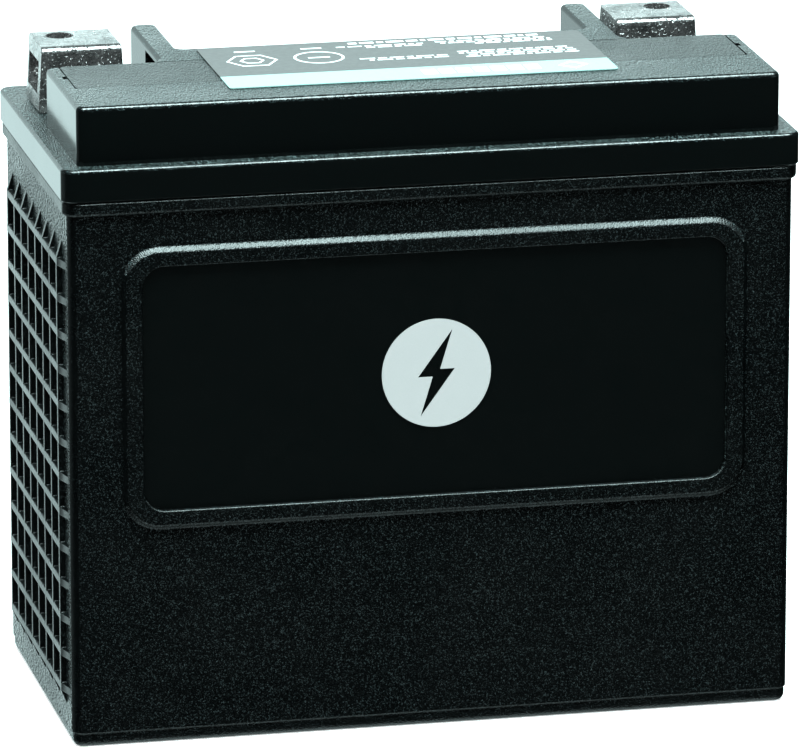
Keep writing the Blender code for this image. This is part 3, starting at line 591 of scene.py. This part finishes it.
def rim_ring(bm, width, low, high):
    outer, inner = (rectangle(RIM_GROOVE_HALF_X, RIM_GROOVE_HALF_Y, RIM_GROOVE_CORNER, inset)
                    for inset in (-width / 2, width / 2))
    hoop(bm, [placed(outer, low, "XY"), placed(outer, high, "XY"), placed(inner, high, "XY"),
              placed(inner, low, "XY")])


def container_hollows(bm):
    half_cell = cell_width() / 2
    for index in range(CELLS):
        centre = (cell_centre(index), 0.0)
        prism(bm, rectangle(half_cell, CASE_HALF_Y - WALL_Y, CELL_CORNER, centre=centre, steps=4), FLOOR,
              RIM_Z + BITE)
    panel = rectangle(*FRAME_INNER, FRAME_INNER_RADIUS, PANEL_INSET, (FRAME_X, FRAME_Z), FRAME_STEPS)
    for side in (-1, 1):
        prism(bm, panel, side * (CASE_HALF_Y - PANEL_DEPTH), side * (CASE_HALF_Y + FRAME_HEIGHT + BITE),
              "XZ")
    rim_ring(bm, RIM_GROOVE_WIDTH, RIM_Z - RIM_GROOVE_DEPTH, RIM_Z + BITE)


def partition_holes(bm):
    reach = PARTITION / 2 + BITE
    for index in range(CELLS - 1):
        y = -CONNECTOR_Y if index % 2 == 0 else CONNECTOR_Y
        cylinder(bm, CONNECTOR_R + GAP, (y, CONNECTOR_Z), partition_x(index) - reach,
                 partition_x(index) + reach, "YZ")


def case_finish(face):
    """Index of the finish: upright roundings hardly have grain, the short walls a more open one. Faces
    turned up on the front and back get paler painted glints as a painted highlight, and the upright
    roundings get fainter ones.
    """
    across, along_y, up = abs(face.normal.x), abs(face.normal.y), face.normal.z
    if across > FLANK_ACROSS and along_y > SLANTED and abs(up) < SLANTED:
        return 3
    if across > SIDEWAYS and abs(face.center.x) < CASE_HALF_X + GAP / 2:
        return 1
    return 2 if up > SLANTED and abs(face.center.y) > CASE_HALF_Y - PANEL_DEPTH else 0


def build_container(looks):
    case = make("case_shell", container_body)
    for side in (-1, 1):
        join(case, lambda bm, side=side: lattice(bm, side))
        join(case, lambda bm, side=side: raised_frame(bm, side))
    cut(case, container_hollows)
    cut(case, partition_holes)
    finishes = [looks[name] for name in ("case", "case_side", "case_edge", "case_flank")]
    finished(case, ROOT, finishes, ["container"], case_finish)


# ---------------------------------------------------------------- cover
def upper_tier_corners():
    plain = COVER_CORNER
    fillet = EAR_FILLET
    return [(-BAR_HALF_X, BAR_FRONT_Y, plain), (BAR_HALF_X, BAR_FRONT_Y, plain),
            (BAR_HALF_X, BAR_BACK_Y, plain), (EAR_OUTER_X, BAR_BACK_Y, fillet),
            (EAR_OUTER_X, EAR_BACK_Y, plain), (EAR_INNER_X, EAR_BACK_Y, plain),
            (EAR_INNER_X, BLOCK_BACK_Y, plain), (-EAR_INNER_X, BLOCK_BACK_Y, plain),
            (-EAR_INNER_X, EAR_BACK_Y, plain), (-EAR_OUTER_X, EAR_BACK_Y, plain),
            (-EAR_OUTER_X, BAR_BACK_Y, fillet), (-BAR_HALF_X, BAR_BACK_Y, plain)]


def lower_tier(bm):
    levels = [(COVER_Z, COVER_EDGE), (COVER_Z + COVER_EDGE, 0.0)] + round_over(LEDGE_Z, LEDGE_ROUND)
    loft(bm, [placed(rectangle(LENGTH / 2, WIDTH / 2, COVER_RADIUS, inset), z, "XY")
              for z, inset in levels])


def upper_tier(bm):
    levels = [(LEDGE_Z - BITE, 0.0)] + round_over(TOP_Z, TOP_ROUND)
    loft(bm, [placed(rounded_outline(upper_tier_corners(), inset), z, "XY") for z, inset in levels])


def cover_underside(bm):
    front = -WIDTH / 2 + SKIRT_INSET
    back = WIDTH / 2 - COVER_WALL
    front_hollow_y = PLATE_FRONT_Y - COVER_WALL
    roof = TOP_Z - COVER_WALL
    profile = [(front, COVER_Z - BITE), (back, COVER_Z - BITE), (back, LEDGE_Z - COVER_WALL),
               (PLENUM_BACK_Y, LEDGE_Z - COVER_WALL), (PLENUM_BACK_Y, PLENUM_Z - COVER_WALL),
               (front_hollow_y, PLENUM_Z - COVER_WALL), (front_hollow_y, roof), (front, roof)]
    for index in range(CELLS):
        low = max(cell_centre(index) - cell_width() / 2, -BAR_HALF_X + COVER_WALL)
        high = min(cell_centre(index) + cell_width() / 2, BAR_HALF_X - COVER_WALL)
        prism(bm, [Vector(point) for point in profile], low, high, "YZ")


def block_hollows(bm):
    limit = EAR_INNER_X - COVER_WALL
    for index in range(1, CELLS - 1):
        low = max(cell_centre(index) - cell_width() / 2, -limit)
        high = min(cell_centre(index) + cell_width() / 2, limit)
        block(bm, (low, high), (BAR_BACK_Y + COVER_WALL, BLOCK_BACK_Y - COVER_WALL),
              (LEDGE_Z - COVER_WALL - BITE, TOP_Z - COVER_WALL))


def ear_recesses(bm):
    """Shallow recess low in the outer face of each wall by the lugs."""
    for side in (-1, 1):
        block(bm, (side * (EAR_OUTER_X + BITE), side * (EAR_OUTER_X - EAR_RECESS_DEPTH)), EAR_RECESS_Y,
              (LEDGE_Z + GAP, EAR_RECESS_Z))


def vent_recesses(bm):
    """Shelf that the welded plate lies in."""
    block(bm, (-PLATE_HALF_X - PLATE_SEAM, PLATE_HALF_X + PLATE_SEAM),
          (PLATE_FRONT_Y - PLATE_SEAM, PLATE_BACK_Y + PLATE_SEAM), (SEAT_Z, TOP_Z + BITE))


def vent_plenum(bm):
    """Gas space under the plate."""
    block(bm, (-PLENUM_HALF_X, PLENUM_HALF_X), (PLENUM_FRONT_Y, PLENUM_BACK_Y),
          (PLENUM_Z, SEAT_Z + BITE / 2))


def vent_outlets(bm):
    """Pockets for the frits."""
    middle = sum(OUTLET_Y) / 2
    for side in (-1, 1):
        block(bm, (side * (PLENUM_HALF_X - BITE), side * ARRESTOR_POCKET),
              (middle - ARRESTOR_HALF_Y, middle + ARRESTOR_HALF_Y), (ARRESTOR_Z, SEAT_Z + BITE / 2))


def vent_notches(bm):
    """Gas notches at the plate's two ends."""
    for side in (-1, 1):
        block(bm, (side * (PLATE_HALF_X - BITE), side * OUTLET_X), OUTLET_Y,
              (SEAT_Z - BITE / 2, TOP_Z + BITE))


def chimneys(bm):
    for index in range(CELLS):
        cylinder(bm, CHIMNEY_R, (cell_centre(index), PORT_Y), PLENUM_Z - BITE, CHIMNEY_Z)


def chimney_bores(bm):
    for index in range(CELLS):
        cylinder(bm, CHIMNEY_BORE_R, (cell_centre(index), PORT_Y), PLENUM_Z - 2 * COVER_WALL,
                 CHIMNEY_Z + BITE)


def post_bosses(bm):
    for side in (-1, 1):
        cylinder(bm, BOSS_R, (POST_X[side], POST_Y), BOSS_Z, LEDGE_Z - COVER_WALL + BITE)


def post_bores(bm):
    """Bore of each post, with the ring's groove and the epoxy's well."""
    groove_low, groove_high = RING_GROOVE_Z
    well = LEDGE_Z - SEAL_DEPTH
    steps = [(POST_BORE_R, BOSS_Z - BITE), (POST_BORE_R, groove_low), (RING_GROOVE_R, groove_low),
             (RING_GROOVE_R, groove_high), (POST_BORE_R, groove_high), (POST_BORE_R, well),
             (SEAL_R, well), (SEAL_R, LEDGE_Z + BITE)]
    for side in (-1, 1):
        turned(bm, steps, (POST_X[side], POST_Y))


def polarity_signs(bm):
    half = MARK_SIZE / 2
    stroke = MARK_STROKE / 2
    quarter = [(stroke, -half), (stroke, -stroke), (half, -stroke)]
    plus = []
    for turn in range(4):
        spin = Matrix.Rotation(turn * math.pi / 2, 2)
        plus += [Vector((POST_X[-1], MARK_Y)) + spin @ Vector(point) for point in quarter]
    prism(bm, plus, LEDGE_Z - BITE, LEDGE_Z + MARK_HEIGHT)
    minus = box_outline((POST_X[1] - half, POST_X[1] + half), (MARK_Y - stroke, MARK_Y + stroke))
    prism(bm, minus, LEDGE_Z - BITE, LEDGE_Z + MARK_HEIGHT)


def grained(face):
    """Index of the finish: grained tops, smoother edges, smooth sides, and the walls by the lugs. The
    level tops carry the palest painted glints, a painted reflection.
    """
    if face.normal.z > LEVEL:
        return 0
    if face.center.y > BAR_BACK_Y + COVER_WALL and face.center.z > LEDGE_Z:
        return 3
    return 2 if face.normal.z > TILTED_UP else 1


def build_cover(looks):
    cover = make("cover_shell", lower_tier)
    join(cover, upper_tier)
    for hollow in (cover_underside, block_hollows, ear_recesses, vent_recesses, vent_plenum,
                   vent_outlets, vent_notches):
        cut(cover, hollow)
    join(cover, chimneys)
    cut(cover, chimney_bores)
    join(cover, post_bosses)
    cut(cover, post_bores)
    join(cover, polarity_signs)
    finishes = [looks[name] for name in ("cover_grain", "cover_smooth", "cover_edge", "cover_wall")]
    finished(cover, ROOT, finishes, ["cover"], grained)


def vent_plate(bm):
    half_y = (PLATE_BACK_Y - PLATE_FRONT_Y) / 2
    centre = (0.0, (PLATE_BACK_Y + PLATE_FRONT_Y) / 2)
    levels = [(TOP_Z - PLATE_THICKNESS, 0.0)] + round_over(TOP_Z, PLATE_ROUND, EDGE_STEPS)
    loft(bm, [placed(rectangle(PLATE_HALF_X, half_y, PLATE_CORNER, inset, centre), z, "XY")
              for z, inset in levels])


# ---------------------------------------------------------------- terminals
def lug_body(bm, side):
    outer_x = LUG_OUTER[side]
    inner_x = outer_x - side * LUG_WIDTH
    corners = [(LUG_FRONT_Y, LUG_BASE_Z, LUG_EDGE), (LUG_BACK_Y, LUG_BASE_Z, LUG_EDGE),
               (LUG_BACK_Y, HEIGHT, LUG_EDGE), (LUG_FRONT_Y, HEIGHT, LUG_TOP_ROUND)]
    ends = [(LUG_EDGE * (1 - math.sin(angle)), LUG_EDGE * (1 - math.cos(angle)))
            for angle in quarter_turn(LUG_END_STEPS)]
    stations = [(outer_x - side * depth, inset) for inset, depth in ends]
    stations += [(inner_x + side * depth, inset) for inset, depth in reversed(ends)]
    loft(bm, [placed(rounded_outline(corners, inset, LUG_ROUND_STEPS), x, "YZ")
              for x, inset in stations])
    middle_x = (outer_x + inner_x) / 2
    for vert in bm.verts:
        lean = LUG_DRAFT * (HEIGHT - vert.co.z) / (HEIGHT - LUG_BASE_Z)
        vert.co.x += math.copysign(lean, vert.co.x - middle_x)


def lug_cuts(bm, side):
    outer_x = LUG_OUTER[side]
    depth = LUG_WIDTH - LUG_INNER_WALL
    block(bm, (outer_x + side * 2 * BITE, outer_x - side * depth),
          (LUG_FRONT_Y + LUG_FRONT_WALL, LUG_BACK_Y - LUG_BACK_WALL), (WINDOW_FLOOR_Z, WINDOW_TOP_Z))


def lug_hole(bm, side):
    cylinder(bm, BOLT_HOLE_R, (LUG_OUTER[side] - side * BOLT_FROM_OUTER, BOLT_Y), WINDOW_TOP_Z - BITE,
             HEIGHT + BITE)


def build_lugs(looks):
    for name, side in (("left", -1), ("right", 1)):
        lug = make(f"lead_lug_{name}", lambda bm, side=side: lug_body(bm, side))
        cut(lug, lambda bm, side=side: lug_cuts(bm, side))
        cut(lug, lambda bm, side=side: lug_hole(bm, side))
        rim = lug.modifiers.new("edge", "BEVEL")
        rim.width = LUG_RIM
        rim.segments = 2
        rim.limit_method = "ANGLE"
        rim.angle_limit = math.radians(50)
        finished(lug, ROOT, [looks["lead"]], [f"terminal_lug_{name}"], sharp=50.0)


# ---------------------------------------------------------------- film, emblem and label
def film_face_y():
    return CASE_HALF_Y - PANEL_DEPTH + FILM_GAP + FILM_THICKNESS


def panel_film(bm, side):
    back = CASE_HALF_Y - PANEL_DEPTH + FILM_GAP
    face = back + FILM_THICKNESS
    levels = [(back, 0.0), (face - FILM_EDGE, 0.0), (face - FILM_EDGE / 3, FILM_EDGE / 3),
              (face, FILM_EDGE)]
    loops = []
    for y, inset in levels:
        outline = rectangle(*FRAME_INNER, FRAME_INNER_RADIUS, FILM_INSET + inset, (FRAME_X, FRAME_Z),
                            FRAME_STEPS)
        loops.append(placed(outline, side * y, "XZ"))
    loft(bm, loops)


def emblem_disc(bm):
    back = -(film_face_y() + FILM_GAP)
    prism(bm, circle(EMBLEM_R, (FRAME_X, FRAME_Z), EMBLEM_STEPS), back, back - EMBLEM_THICKNESS, "XZ")


def emblem_flash(bm):
    outline = [Vector((FRAME_X + x, FRAME_Z + z)) for x, z in FLASH_HALF]
    outline += [Vector((FRAME_X - x, FRAME_Z - z)) for x, z in FLASH_HALF]
    face = -film_face_y()
    prism(bm, outline[::-1], face + BITE, face - BITE, "XZ")


def label_sheet(bm):
    """Sheet with a paler band along its front, split where the band ends."""
    half_x = (LABEL_X[1] - LABEL_X[0]) / 2
    half_y = (LABEL_Y[1] - LABEL_Y[0]) / 2
    centre = (sum(LABEL_X) / 2, sum(LABEL_Y) / 2)
    low = TOP_Z + FILM_GAP
    outline = rectangle(half_x, half_y, LABEL_CORNER, centre=centre, steps=4)
    prism(bm, outline, low, low + LABEL_THICKNESS)
    geometry = bm.verts[:] + bm.edges[:] + bm.faces[:]
    bmesh.ops.bisect_plane(bm, geom=geometry, plane_co=(0, LABEL_BAND_Y, 0), plane_no=(0, 1, 0))


def on_band(face):
    return 1 if face.center.y < LABEL_BAND_Y else 0


def mark_levels():
    low = TOP_Z + FILM_GAP + LABEL_THICKNESS + MARK_GAP
    return low, low + MARK_THICKNESS


def mark_outline(bm, centre, radius, corners, stroke):
    """Ring or many-sided outline lying on the label."""
    low, high = mark_levels()
    outer = circle(radius, centre, corners)
    inner = circle(radius - stroke, centre, corners)
    hoop(bm, [placed(outer, low, "XY"), placed(outer, high, "XY"), placed(inner, high, "XY"),
              placed(inner, low, "XY")])


def label_rows(bm):
    """Rows of plain dashes where the label carries its print, and two plain signs; no lettering."""
    levels = mark_levels()
    words = itertools.cycle(WORD_LENGTHS)
    for start, end, y, tall in LABEL_ROWS:
        x = start
        while x < end:
            stop = min(x + next(words), end)
            block(bm, (x, stop), (y, y + tall), levels)
            x = stop + ROW_SPACE
    for x, radius, corners in SIGNS:
        mark_outline(bm, (x, SIGN_Y), radius, corners, SIGN_STROKE)
    half_long, half_tall = SIGN_BAR[0] / 2, SIGN_BAR[1] / 2
    middle = SIGNS[-1][0]
    block(bm, (middle - half_long, middle + half_long), (SIGN_Y - half_tall, SIGN_Y + half_tall), levels)
    for x in UNDERLINES_X:
        block(bm, (x, x + UNDERLINE[0]), (UNDERLINE_Y, UNDERLINE_Y + UNDERLINE[1]), levels)


def label_blocks(bm):
    """Plain blocks and a diamond on the band."""
    levels = mark_levels()
    for step in range(TILES):
        x = TILES_X + step * TILE_PITCH
        block(bm, (x, x + TILE_WIDTH), TILE_Y, levels)
    mark_outline(bm, (DIAMOND_X, DIAMOND_Y), DIAMOND_R, 4, DIAMOND_STROKE)


def build_skins(looks):
    films = (("front_film", "front_panel_film", -1), ("rear_film", "rear_panel_film", 1))
    for name, node, side in films:
        film = make(name, lambda bm, side=side: panel_film(bm, side))
        finished(film, ROOT, [looks["film"]], [node])
    emblem = make("silver_emblem", emblem_disc)
    cut(emblem, emblem_flash)
    finished(emblem, ROOT, [looks["silver"]], ["front_emblem"])
    label = make("label_sheet", label_sheet)
    papers = [looks["label"], looks["label_band"]]
    finished(label, ROOT, papers, ["top_label"], on_band)
    for name, build in (("label_rows", label_rows), ("label_blocks", label_blocks)):
        finished(make(name, build), ROOT, [looks["ink"]])


# ---------------------------------------------------------------- materials
def new_finish(name, colour, roughness, metallic=0.0, specular=0.5):
    finish = bpy.data.materials.new(name)
    finish.use_nodes = True
    tree = finish.node_tree
    shader = tree.nodes["Principled BSDF"]
    shader.inputs["Base Color"].default_value = (*colour, 1.0)
    shader.inputs["Roughness"].default_value = roughness
    shader.inputs["Metallic"].default_value = metallic
    shader.inputs["Specular IOR Level"].default_value = specular
    finish.diffuse_color = (*colour, 1.0)
    return finish, tree, shader


def noise(tree, coordinates, scale, detail=2.0, roughness=0.5):
    node = tree.nodes.new("ShaderNodeTexNoise")
    node.inputs["Scale"].default_value = scale
    node.inputs["Detail"].default_value = detail
    node.inputs["Roughness"].default_value = roughness
    tree.links.new(coordinates, node.inputs["Vector"])
    return node.outputs["Fac"]


def spread_between(tree, value, from_range, to_range, smooth=False):
    node = tree.nodes.new("ShaderNodeMapRange")
    node.interpolation_type = "SMOOTHSTEP" if smooth else "LINEAR"
    node.inputs["From Min"].default_value, node.inputs["From Max"].default_value = from_range
    node.inputs["To Min"].default_value, node.inputs["To Max"].default_value = to_range
    tree.links.new(value, node.inputs["Value"])
    return node.outputs["Result"]


def blend_colours(tree, value, first, second):
    node = tree.nodes.new("ShaderNodeMix")
    node.data_type = "RGBA"
    node.inputs["A"].default_value = (*first, 1.0)
    node.inputs["B"].default_value = (*second, 1.0)
    tree.links.new(value, node.inputs["Factor"])
    return node.outputs["Result"]


def add_values(tree, first, second):
    node = tree.nodes.new("ShaderNodeMath")
    node.operation = "ADD"
    tree.links.new(first, node.inputs[0])
    tree.links.new(second, node.inputs[1])
    return node.outputs[0]


def bump(tree, shader, height, distance, strength=1.0):
    node = tree.nodes.new("ShaderNodeBump")
    node.inputs["Distance"].default_value = distance
    node.inputs["Strength"].default_value = strength
    tree.links.new(height, node.inputs["Height"])
    tree.links.new(node.outputs["Normal"], shader.inputs["Normal"])


def object_coordinates(tree):
    return tree.nodes.new("ShaderNodeTexCoord").outputs["Object"]


def grain_coordinates(tree):
    """Object coordinates drawn out along Y, so the grain stays open where it is seen at a low angle."""
    node = tree.nodes.new("ShaderNodeMapping")
    node.inputs["Scale"].default_value = (1.0, GRAIN_STRETCH, 1.0)
    tree.links.new(object_coordinates(tree), node.inputs["Vector"])
    return node.outputs["Vector"]


def two_tone(tree, shader, value, from_range, first, second):
    """Colour that goes from the first tone to the second as the value crosses its range."""
    share = spread_between(tree, value, from_range, (0.0, 1.0))
    tree.links.new(blend_colours(tree, share, first, second), shader.inputs["Base Color"])


def uneven_gloss(tree, shader, value, low, high):
    """Roughness that wanders with the middle of the value's range."""
    tree.links.new(spread_between(tree, value, MIDDLE, (low, high)), shader.inputs["Roughness"])


def plastic(name, dark, light, roughness, grain, depth, wear=0.06, specular=0.5, glints_from=0.62):
    """Moulded plastic: grain as bump, paler specks in the colour as painted glints of light on the
    grain, and faint handling marks.
    """
    finish, tree, shader = new_finish(name, dark, roughness, specular=specular)
    place = grain_coordinates(tree)
    fine = noise(tree, place, grain, 0.0, 0.5)
    glints = noise(tree, place, GLINT_SCALE * grain, 0.0, 0.5)
    patches = noise(tree, object_coordinates(tree), HANDLING_SCALE, 4.0, 0.6)
    # The light tone is painted glints: pale specks in the base colour.
    two_tone(tree, shader, glints, (glints_from, GLINTS_FULL), dark, light)
    uneven_gloss(tree, shader, patches, roughness - wear, roughness + wear)
    bump(tree, shader, fine, depth)
    return finish


def cast_lead(name, dark, light, roughness, depth):
    """Cast lead: cloudy tones, uneven gloss, and fine grain with sparse pits."""
    finish, tree, shader = new_finish(name, light, roughness, metallic=LEAD_METALLIC)
    place = object_coordinates(tree)
    grain = noise(tree, place, LEAD_GRAIN_SCALE, 4.0, 0.65)
    pits = noise(tree, place, LEAD_PIT_SCALE, 0.0)
    patches = noise(tree, place, LEAD_CLOUD_SCALE, 3.0, 0.6)
    two_tone(tree, shader, patches, MIDDLE, dark, light)
    uneven_gloss(tree, shader, grain, roughness - LEAD_WEAR[0], roughness + LEAD_WEAR[1])
    sparse = spread_between(tree, pits, LEAD_PITS, (0.0, LEAD_PIT_WEIGHT))
    bump(tree, shader, add_values(tree, grain, sparse), depth)
    return finish


def coated(name, first, second, roughness, grain, depth, metallic=0.0, specular=0.5):
    """Film, foil, paste, felt and resin: two close tones, with a bump at the grain's scale."""
    finish, tree, shader = new_finish(name, first, roughness, metallic, specular)
    value = noise(tree, object_coordinates(tree), grain, 3.0, 0.6)
    two_tone(tree, shader, value, MIDDLE, first, second)
    uneven_gloss(tree, shader, value, roughness - COATED_WEAR, roughness + COATED_WEAR)
    bump(tree, shader, value, depth)
    return finish


def black_plastics():
    """Dark tone, painted glint tone, roughness, grain, depth, then what differs from the usual. The
    glint tone is set per finish: paler on faces that catch the light, fainter on the corners.
    """
    return {
        # Front and back walls: faint painted glints.
        "case": plastic("case_grain", BLACK, (0.0090, 0.0130, 0.0135), 0.33, 3000.0, 0.00013,
                        specular=0.28, glints_from=0.60),
        # Upright corner roundings: the faintest painted glints, painted shade.
        "case_flank": plastic("case_flank", BLACK, (0.0030, 0.0045, 0.0045), 0.30, 3000.0, 0.00002,
                              specular=0.28),
        # Bead slopes turned up: paler painted glints, a painted highlight.
        "case_edge": plastic("case_edge_grain", BLACK, PAINTED_GLINT, 0.42, 3200.0, 0.00012),
        # Ribbed short walls: pale painted glints, a painted reflection.
        "case_side": plastic("case_side_grain", BLACK, (0.045, 0.062, 0.062), 0.29, 2900.0, 0.00140,
                             specular=0.40, glints_from=0.50),
        # Cover tops: the palest painted glints, a painted reflection.
        "cover_grain": plastic("cover_grain", BLACK, (0.085, 0.112, 0.112), 0.30, 3200.0, 0.00026,
                               specular=0.46, glints_from=0.48),
        # Walls by the lugs and the cover's edges: paler painted glints.
        "cover_wall": plastic("cover_wall", BLACK, PAINTED_GLINT, 0.12, 3200.0, 0.00001, specular=0.08),
        "cover_edge": plastic("cover_edge", BLACK, PAINTED_GLINT, 0.26, 3200.0, 0.00005),
        "cover_smooth": plastic("cover_smooth", (0.0008, 0.0012, 0.0012), (0.0012, 0.0016, 0.0016),
                                0.13, 2600.0, 0.000003, wear=0.03, specular=0.42),
        # Vent plate top: pale painted glints, a painted reflection.
        "vent": plastic("vent_plate_satin", BLACK, (0.040, 0.055, 0.055), 0.31, 3200.0, 0.00021,
                        wear=0.04, specular=0.40, glints_from=0.50),
    }


def coverings():
    """Two tones, roughness, grain, depth."""
    return {
        "film": coated("panel_gloss", (0.0009, 0.0013, 0.0013), (0.0011, 0.0015, 0.0015), 0.16, 300.0,
                       0.000002, specular=0.22),
        "silver": coated("emblem_silver", (0.230, 0.222, 0.222), (0.240, 0.232, 0.232), 0.42, 2500.0,
                         0.000010, metallic=0.10),
        "label": coated("label_grey", (0.052, 0.050, 0.050), (0.066, 0.064, 0.064), 0.38, 700.0,
                        0.000010),
        "label_band": coated("label_band", (0.20, 0.33, 0.31), (0.22, 0.35, 0.33), 0.38, 700.0,
                             0.000010),
        "ink": coated("label_ink", (0.62, 0.66, 0.66), (0.68, 0.72, 0.72), 0.45, 900.0, 0.000010),
    }


def inner_looks():
    """Looks of the lead and of the pieces inside the case."""
    return {
        "lead": cast_lead("cast_lead", (0.15, 0.145, 0.145), (0.50, 0.47, 0.47), 0.22, 0.00003),
        "inner_lead": cast_lead("inner_lead", (0.30, 0.31, 0.32), (0.44, 0.46, 0.47), 0.5, 0.00008),
        "positive": coated("positive_paste", (0.070, 0.030, 0.018), (0.120, 0.055, 0.030), 0.85, 900.0,
                           0.00010),
        "negative": coated("negative_paste", (0.13, 0.14, 0.145), (0.20, 0.21, 0.215), 0.75, 900.0,
                           0.00010, metallic=0.2),
        "mat": coated("glass_felt", (0.72, 0.72, 0.70), (0.86, 0.86, 0.84), 0.95, 2400.0, 0.00012),
        "rubber": coated("black_rubber", (0.014, 0.014, 0.014), (0.022, 0.022, 0.022), 0.75, 1200.0,
                         0.00003),
        "epoxy": coated("black_epoxy", (0.010, 0.010, 0.012), (0.018, 0.018, 0.020), 0.22, 400.0,
                        0.00002),
        "sealant": coated("sealant_bead", (0.03, 0.03, 0.03), (0.05, 0.05, 0.05), 0.6, 700.0, 0.00004),
        "frit": coated("porous_frit", (0.62, 0.62, 0.59), (0.80, 0.80, 0.77), 0.9, 2200.0, 0.00015),
    }


def dress_nodes(looks):
    """Materials for the CAD nodes that stay, by the start of their names."""
    kinds = {"positive_plate_group": "positive", "negative_plate_group": "negative", "glass_mat": "mat",
             "cell_connector": "inner_lead", "terminal_post": "inner_lead", "post_seal_ring": "rubber",
             "post_epoxy": "epoxy", "rim_sealant": "sealant", "flame_arrestor": "frit",
             "valve_cap": "rubber"}
    for name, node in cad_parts.items():
        for start, look in kinds.items():
            if name.startswith(start):
                node.data.materials.clear()
                node.data.materials.append(looks[look])


# ---------------------------------------------------------------- studio
def add_overhead():
    data = bpy.data.lights.new("overhead", "AREA")
    data.shape = "RECTANGLE"
    data.size, data.size_y = OVERHEAD_SIZE
    data.energy = OVERHEAD_POWER
    data.color = STUDIO_TINT
    light = bpy.data.objects.new("overhead", data)
    light.location = OVERHEAD_PLACE
    light.rotation_mode = "QUATERNION"
    aim = Vector(OVERHEAD_TARGET) - Vector(OVERHEAD_PLACE)
    light.rotation_quaternion = aim.to_track_quat("-Z", "Y")
    light.visible_camera = False
    bpy.context.scene.collection.objects.link(light)


def glow(tree, direction, axis, reach, strength):
    """Glow that rises smoothly as the direction nears an axis."""
    node = tree.nodes.new("ShaderNodeVectorMath")
    node.operation = "DOT_PRODUCT"
    node.inputs[1].default_value = axis
    tree.links.new(direction, node.inputs[0])
    return spread_between(tree, node.outputs["Value"], reach, strength, smooth=True)


def add_world():
    """Bright low backdrop behind the battery, a faint fill from its side, and light from below."""
    world = bpy.data.worlds.new("studio")
    bpy.context.scene.world = world
    world.use_nodes = True
    tree = world.node_tree
    background = tree.nodes["Background"]
    direction = tree.nodes.new("ShaderNodeTexCoord").outputs["Generated"]
    backdrop = glow(tree, direction, BACKDROP_AXIS, BACKDROP_REACH, BACKDROP_GLOW)
    fill = glow(tree, direction, FILL_AXIS, FILL_REACH, FILL_GLOW)
    below = glow(tree, direction, BELOW_AXIS, BELOW_REACH, BELOW_GLOW)
    total = add_values(tree, add_values(tree, backdrop, fill), below)
    tree.links.new(total, background.inputs["Strength"])
    background.inputs["Color"].default_value = (*STUDIO_TINT, 1.0)


def floor_disc(bm):
    """Round sheet that curves up to a wall far from the battery."""
    turns = [2 * math.pi * step / FLOOR_STEPS for step in range(FLOOR_STEPS)]
    rings = [[bm.verts.new((radius * math.cos(turn), radius * math.sin(turn), z)) for turn in turns]
             for radius, z in FLOOR_PROFILE]
    hub = bm.verts.new((0.0, 0.0, 0.0))
    for i in range(len(turns)):
        j = (i + 1) % len(turns)
        bm.faces.new((hub, rings[0][i], rings[0][j]))
        for low, high in zip(rings, rings[1:]):
            bm.faces.new((low[i], high[i], high[j], low[j]))


def add_floor():
    floor = make("studio_floor", floor_disc)
    floor.data.shade_smooth()
    finish, tree, shader = new_finish("floor_paper", FLOOR_TONES[0], 0.9, specular=0.2)
    fibres = noise(tree, object_coordinates(tree), 60.0, 3.0)
    tree.links.new(blend_colours(tree, fibres, *FLOOR_TONES), shader.inputs["Base Color"])
    shader.inputs["Emission Color"].default_value = FLOOR_EMISSION
    shader.inputs["Emission Strength"].default_value = FLOOR_GLOW
    floor.data.materials.append(finish)
    floor.visible_glossy = False


def add_studio():
    add_world()
    add_floor()
    add_overhead()
    scene = bpy.context.scene
    scene.view_settings.view_transform = "Standard"
    scene.view_settings.look = "None"


# ---------------------------------------------------------------- the battery
def main():
    add_camera()
    looks = {**black_plastics(), **coverings(), **inner_looks()}
    build_container(looks)
    build_cover(looks)
    plate = make("vent_plate", vent_plate)
    finished(plate, ROOT, [looks["vent"]], ["vent_cover_plate"])
    build_lugs(looks)
    build_skins(looks)
    dress_nodes(looks)
    add_studio()


main()
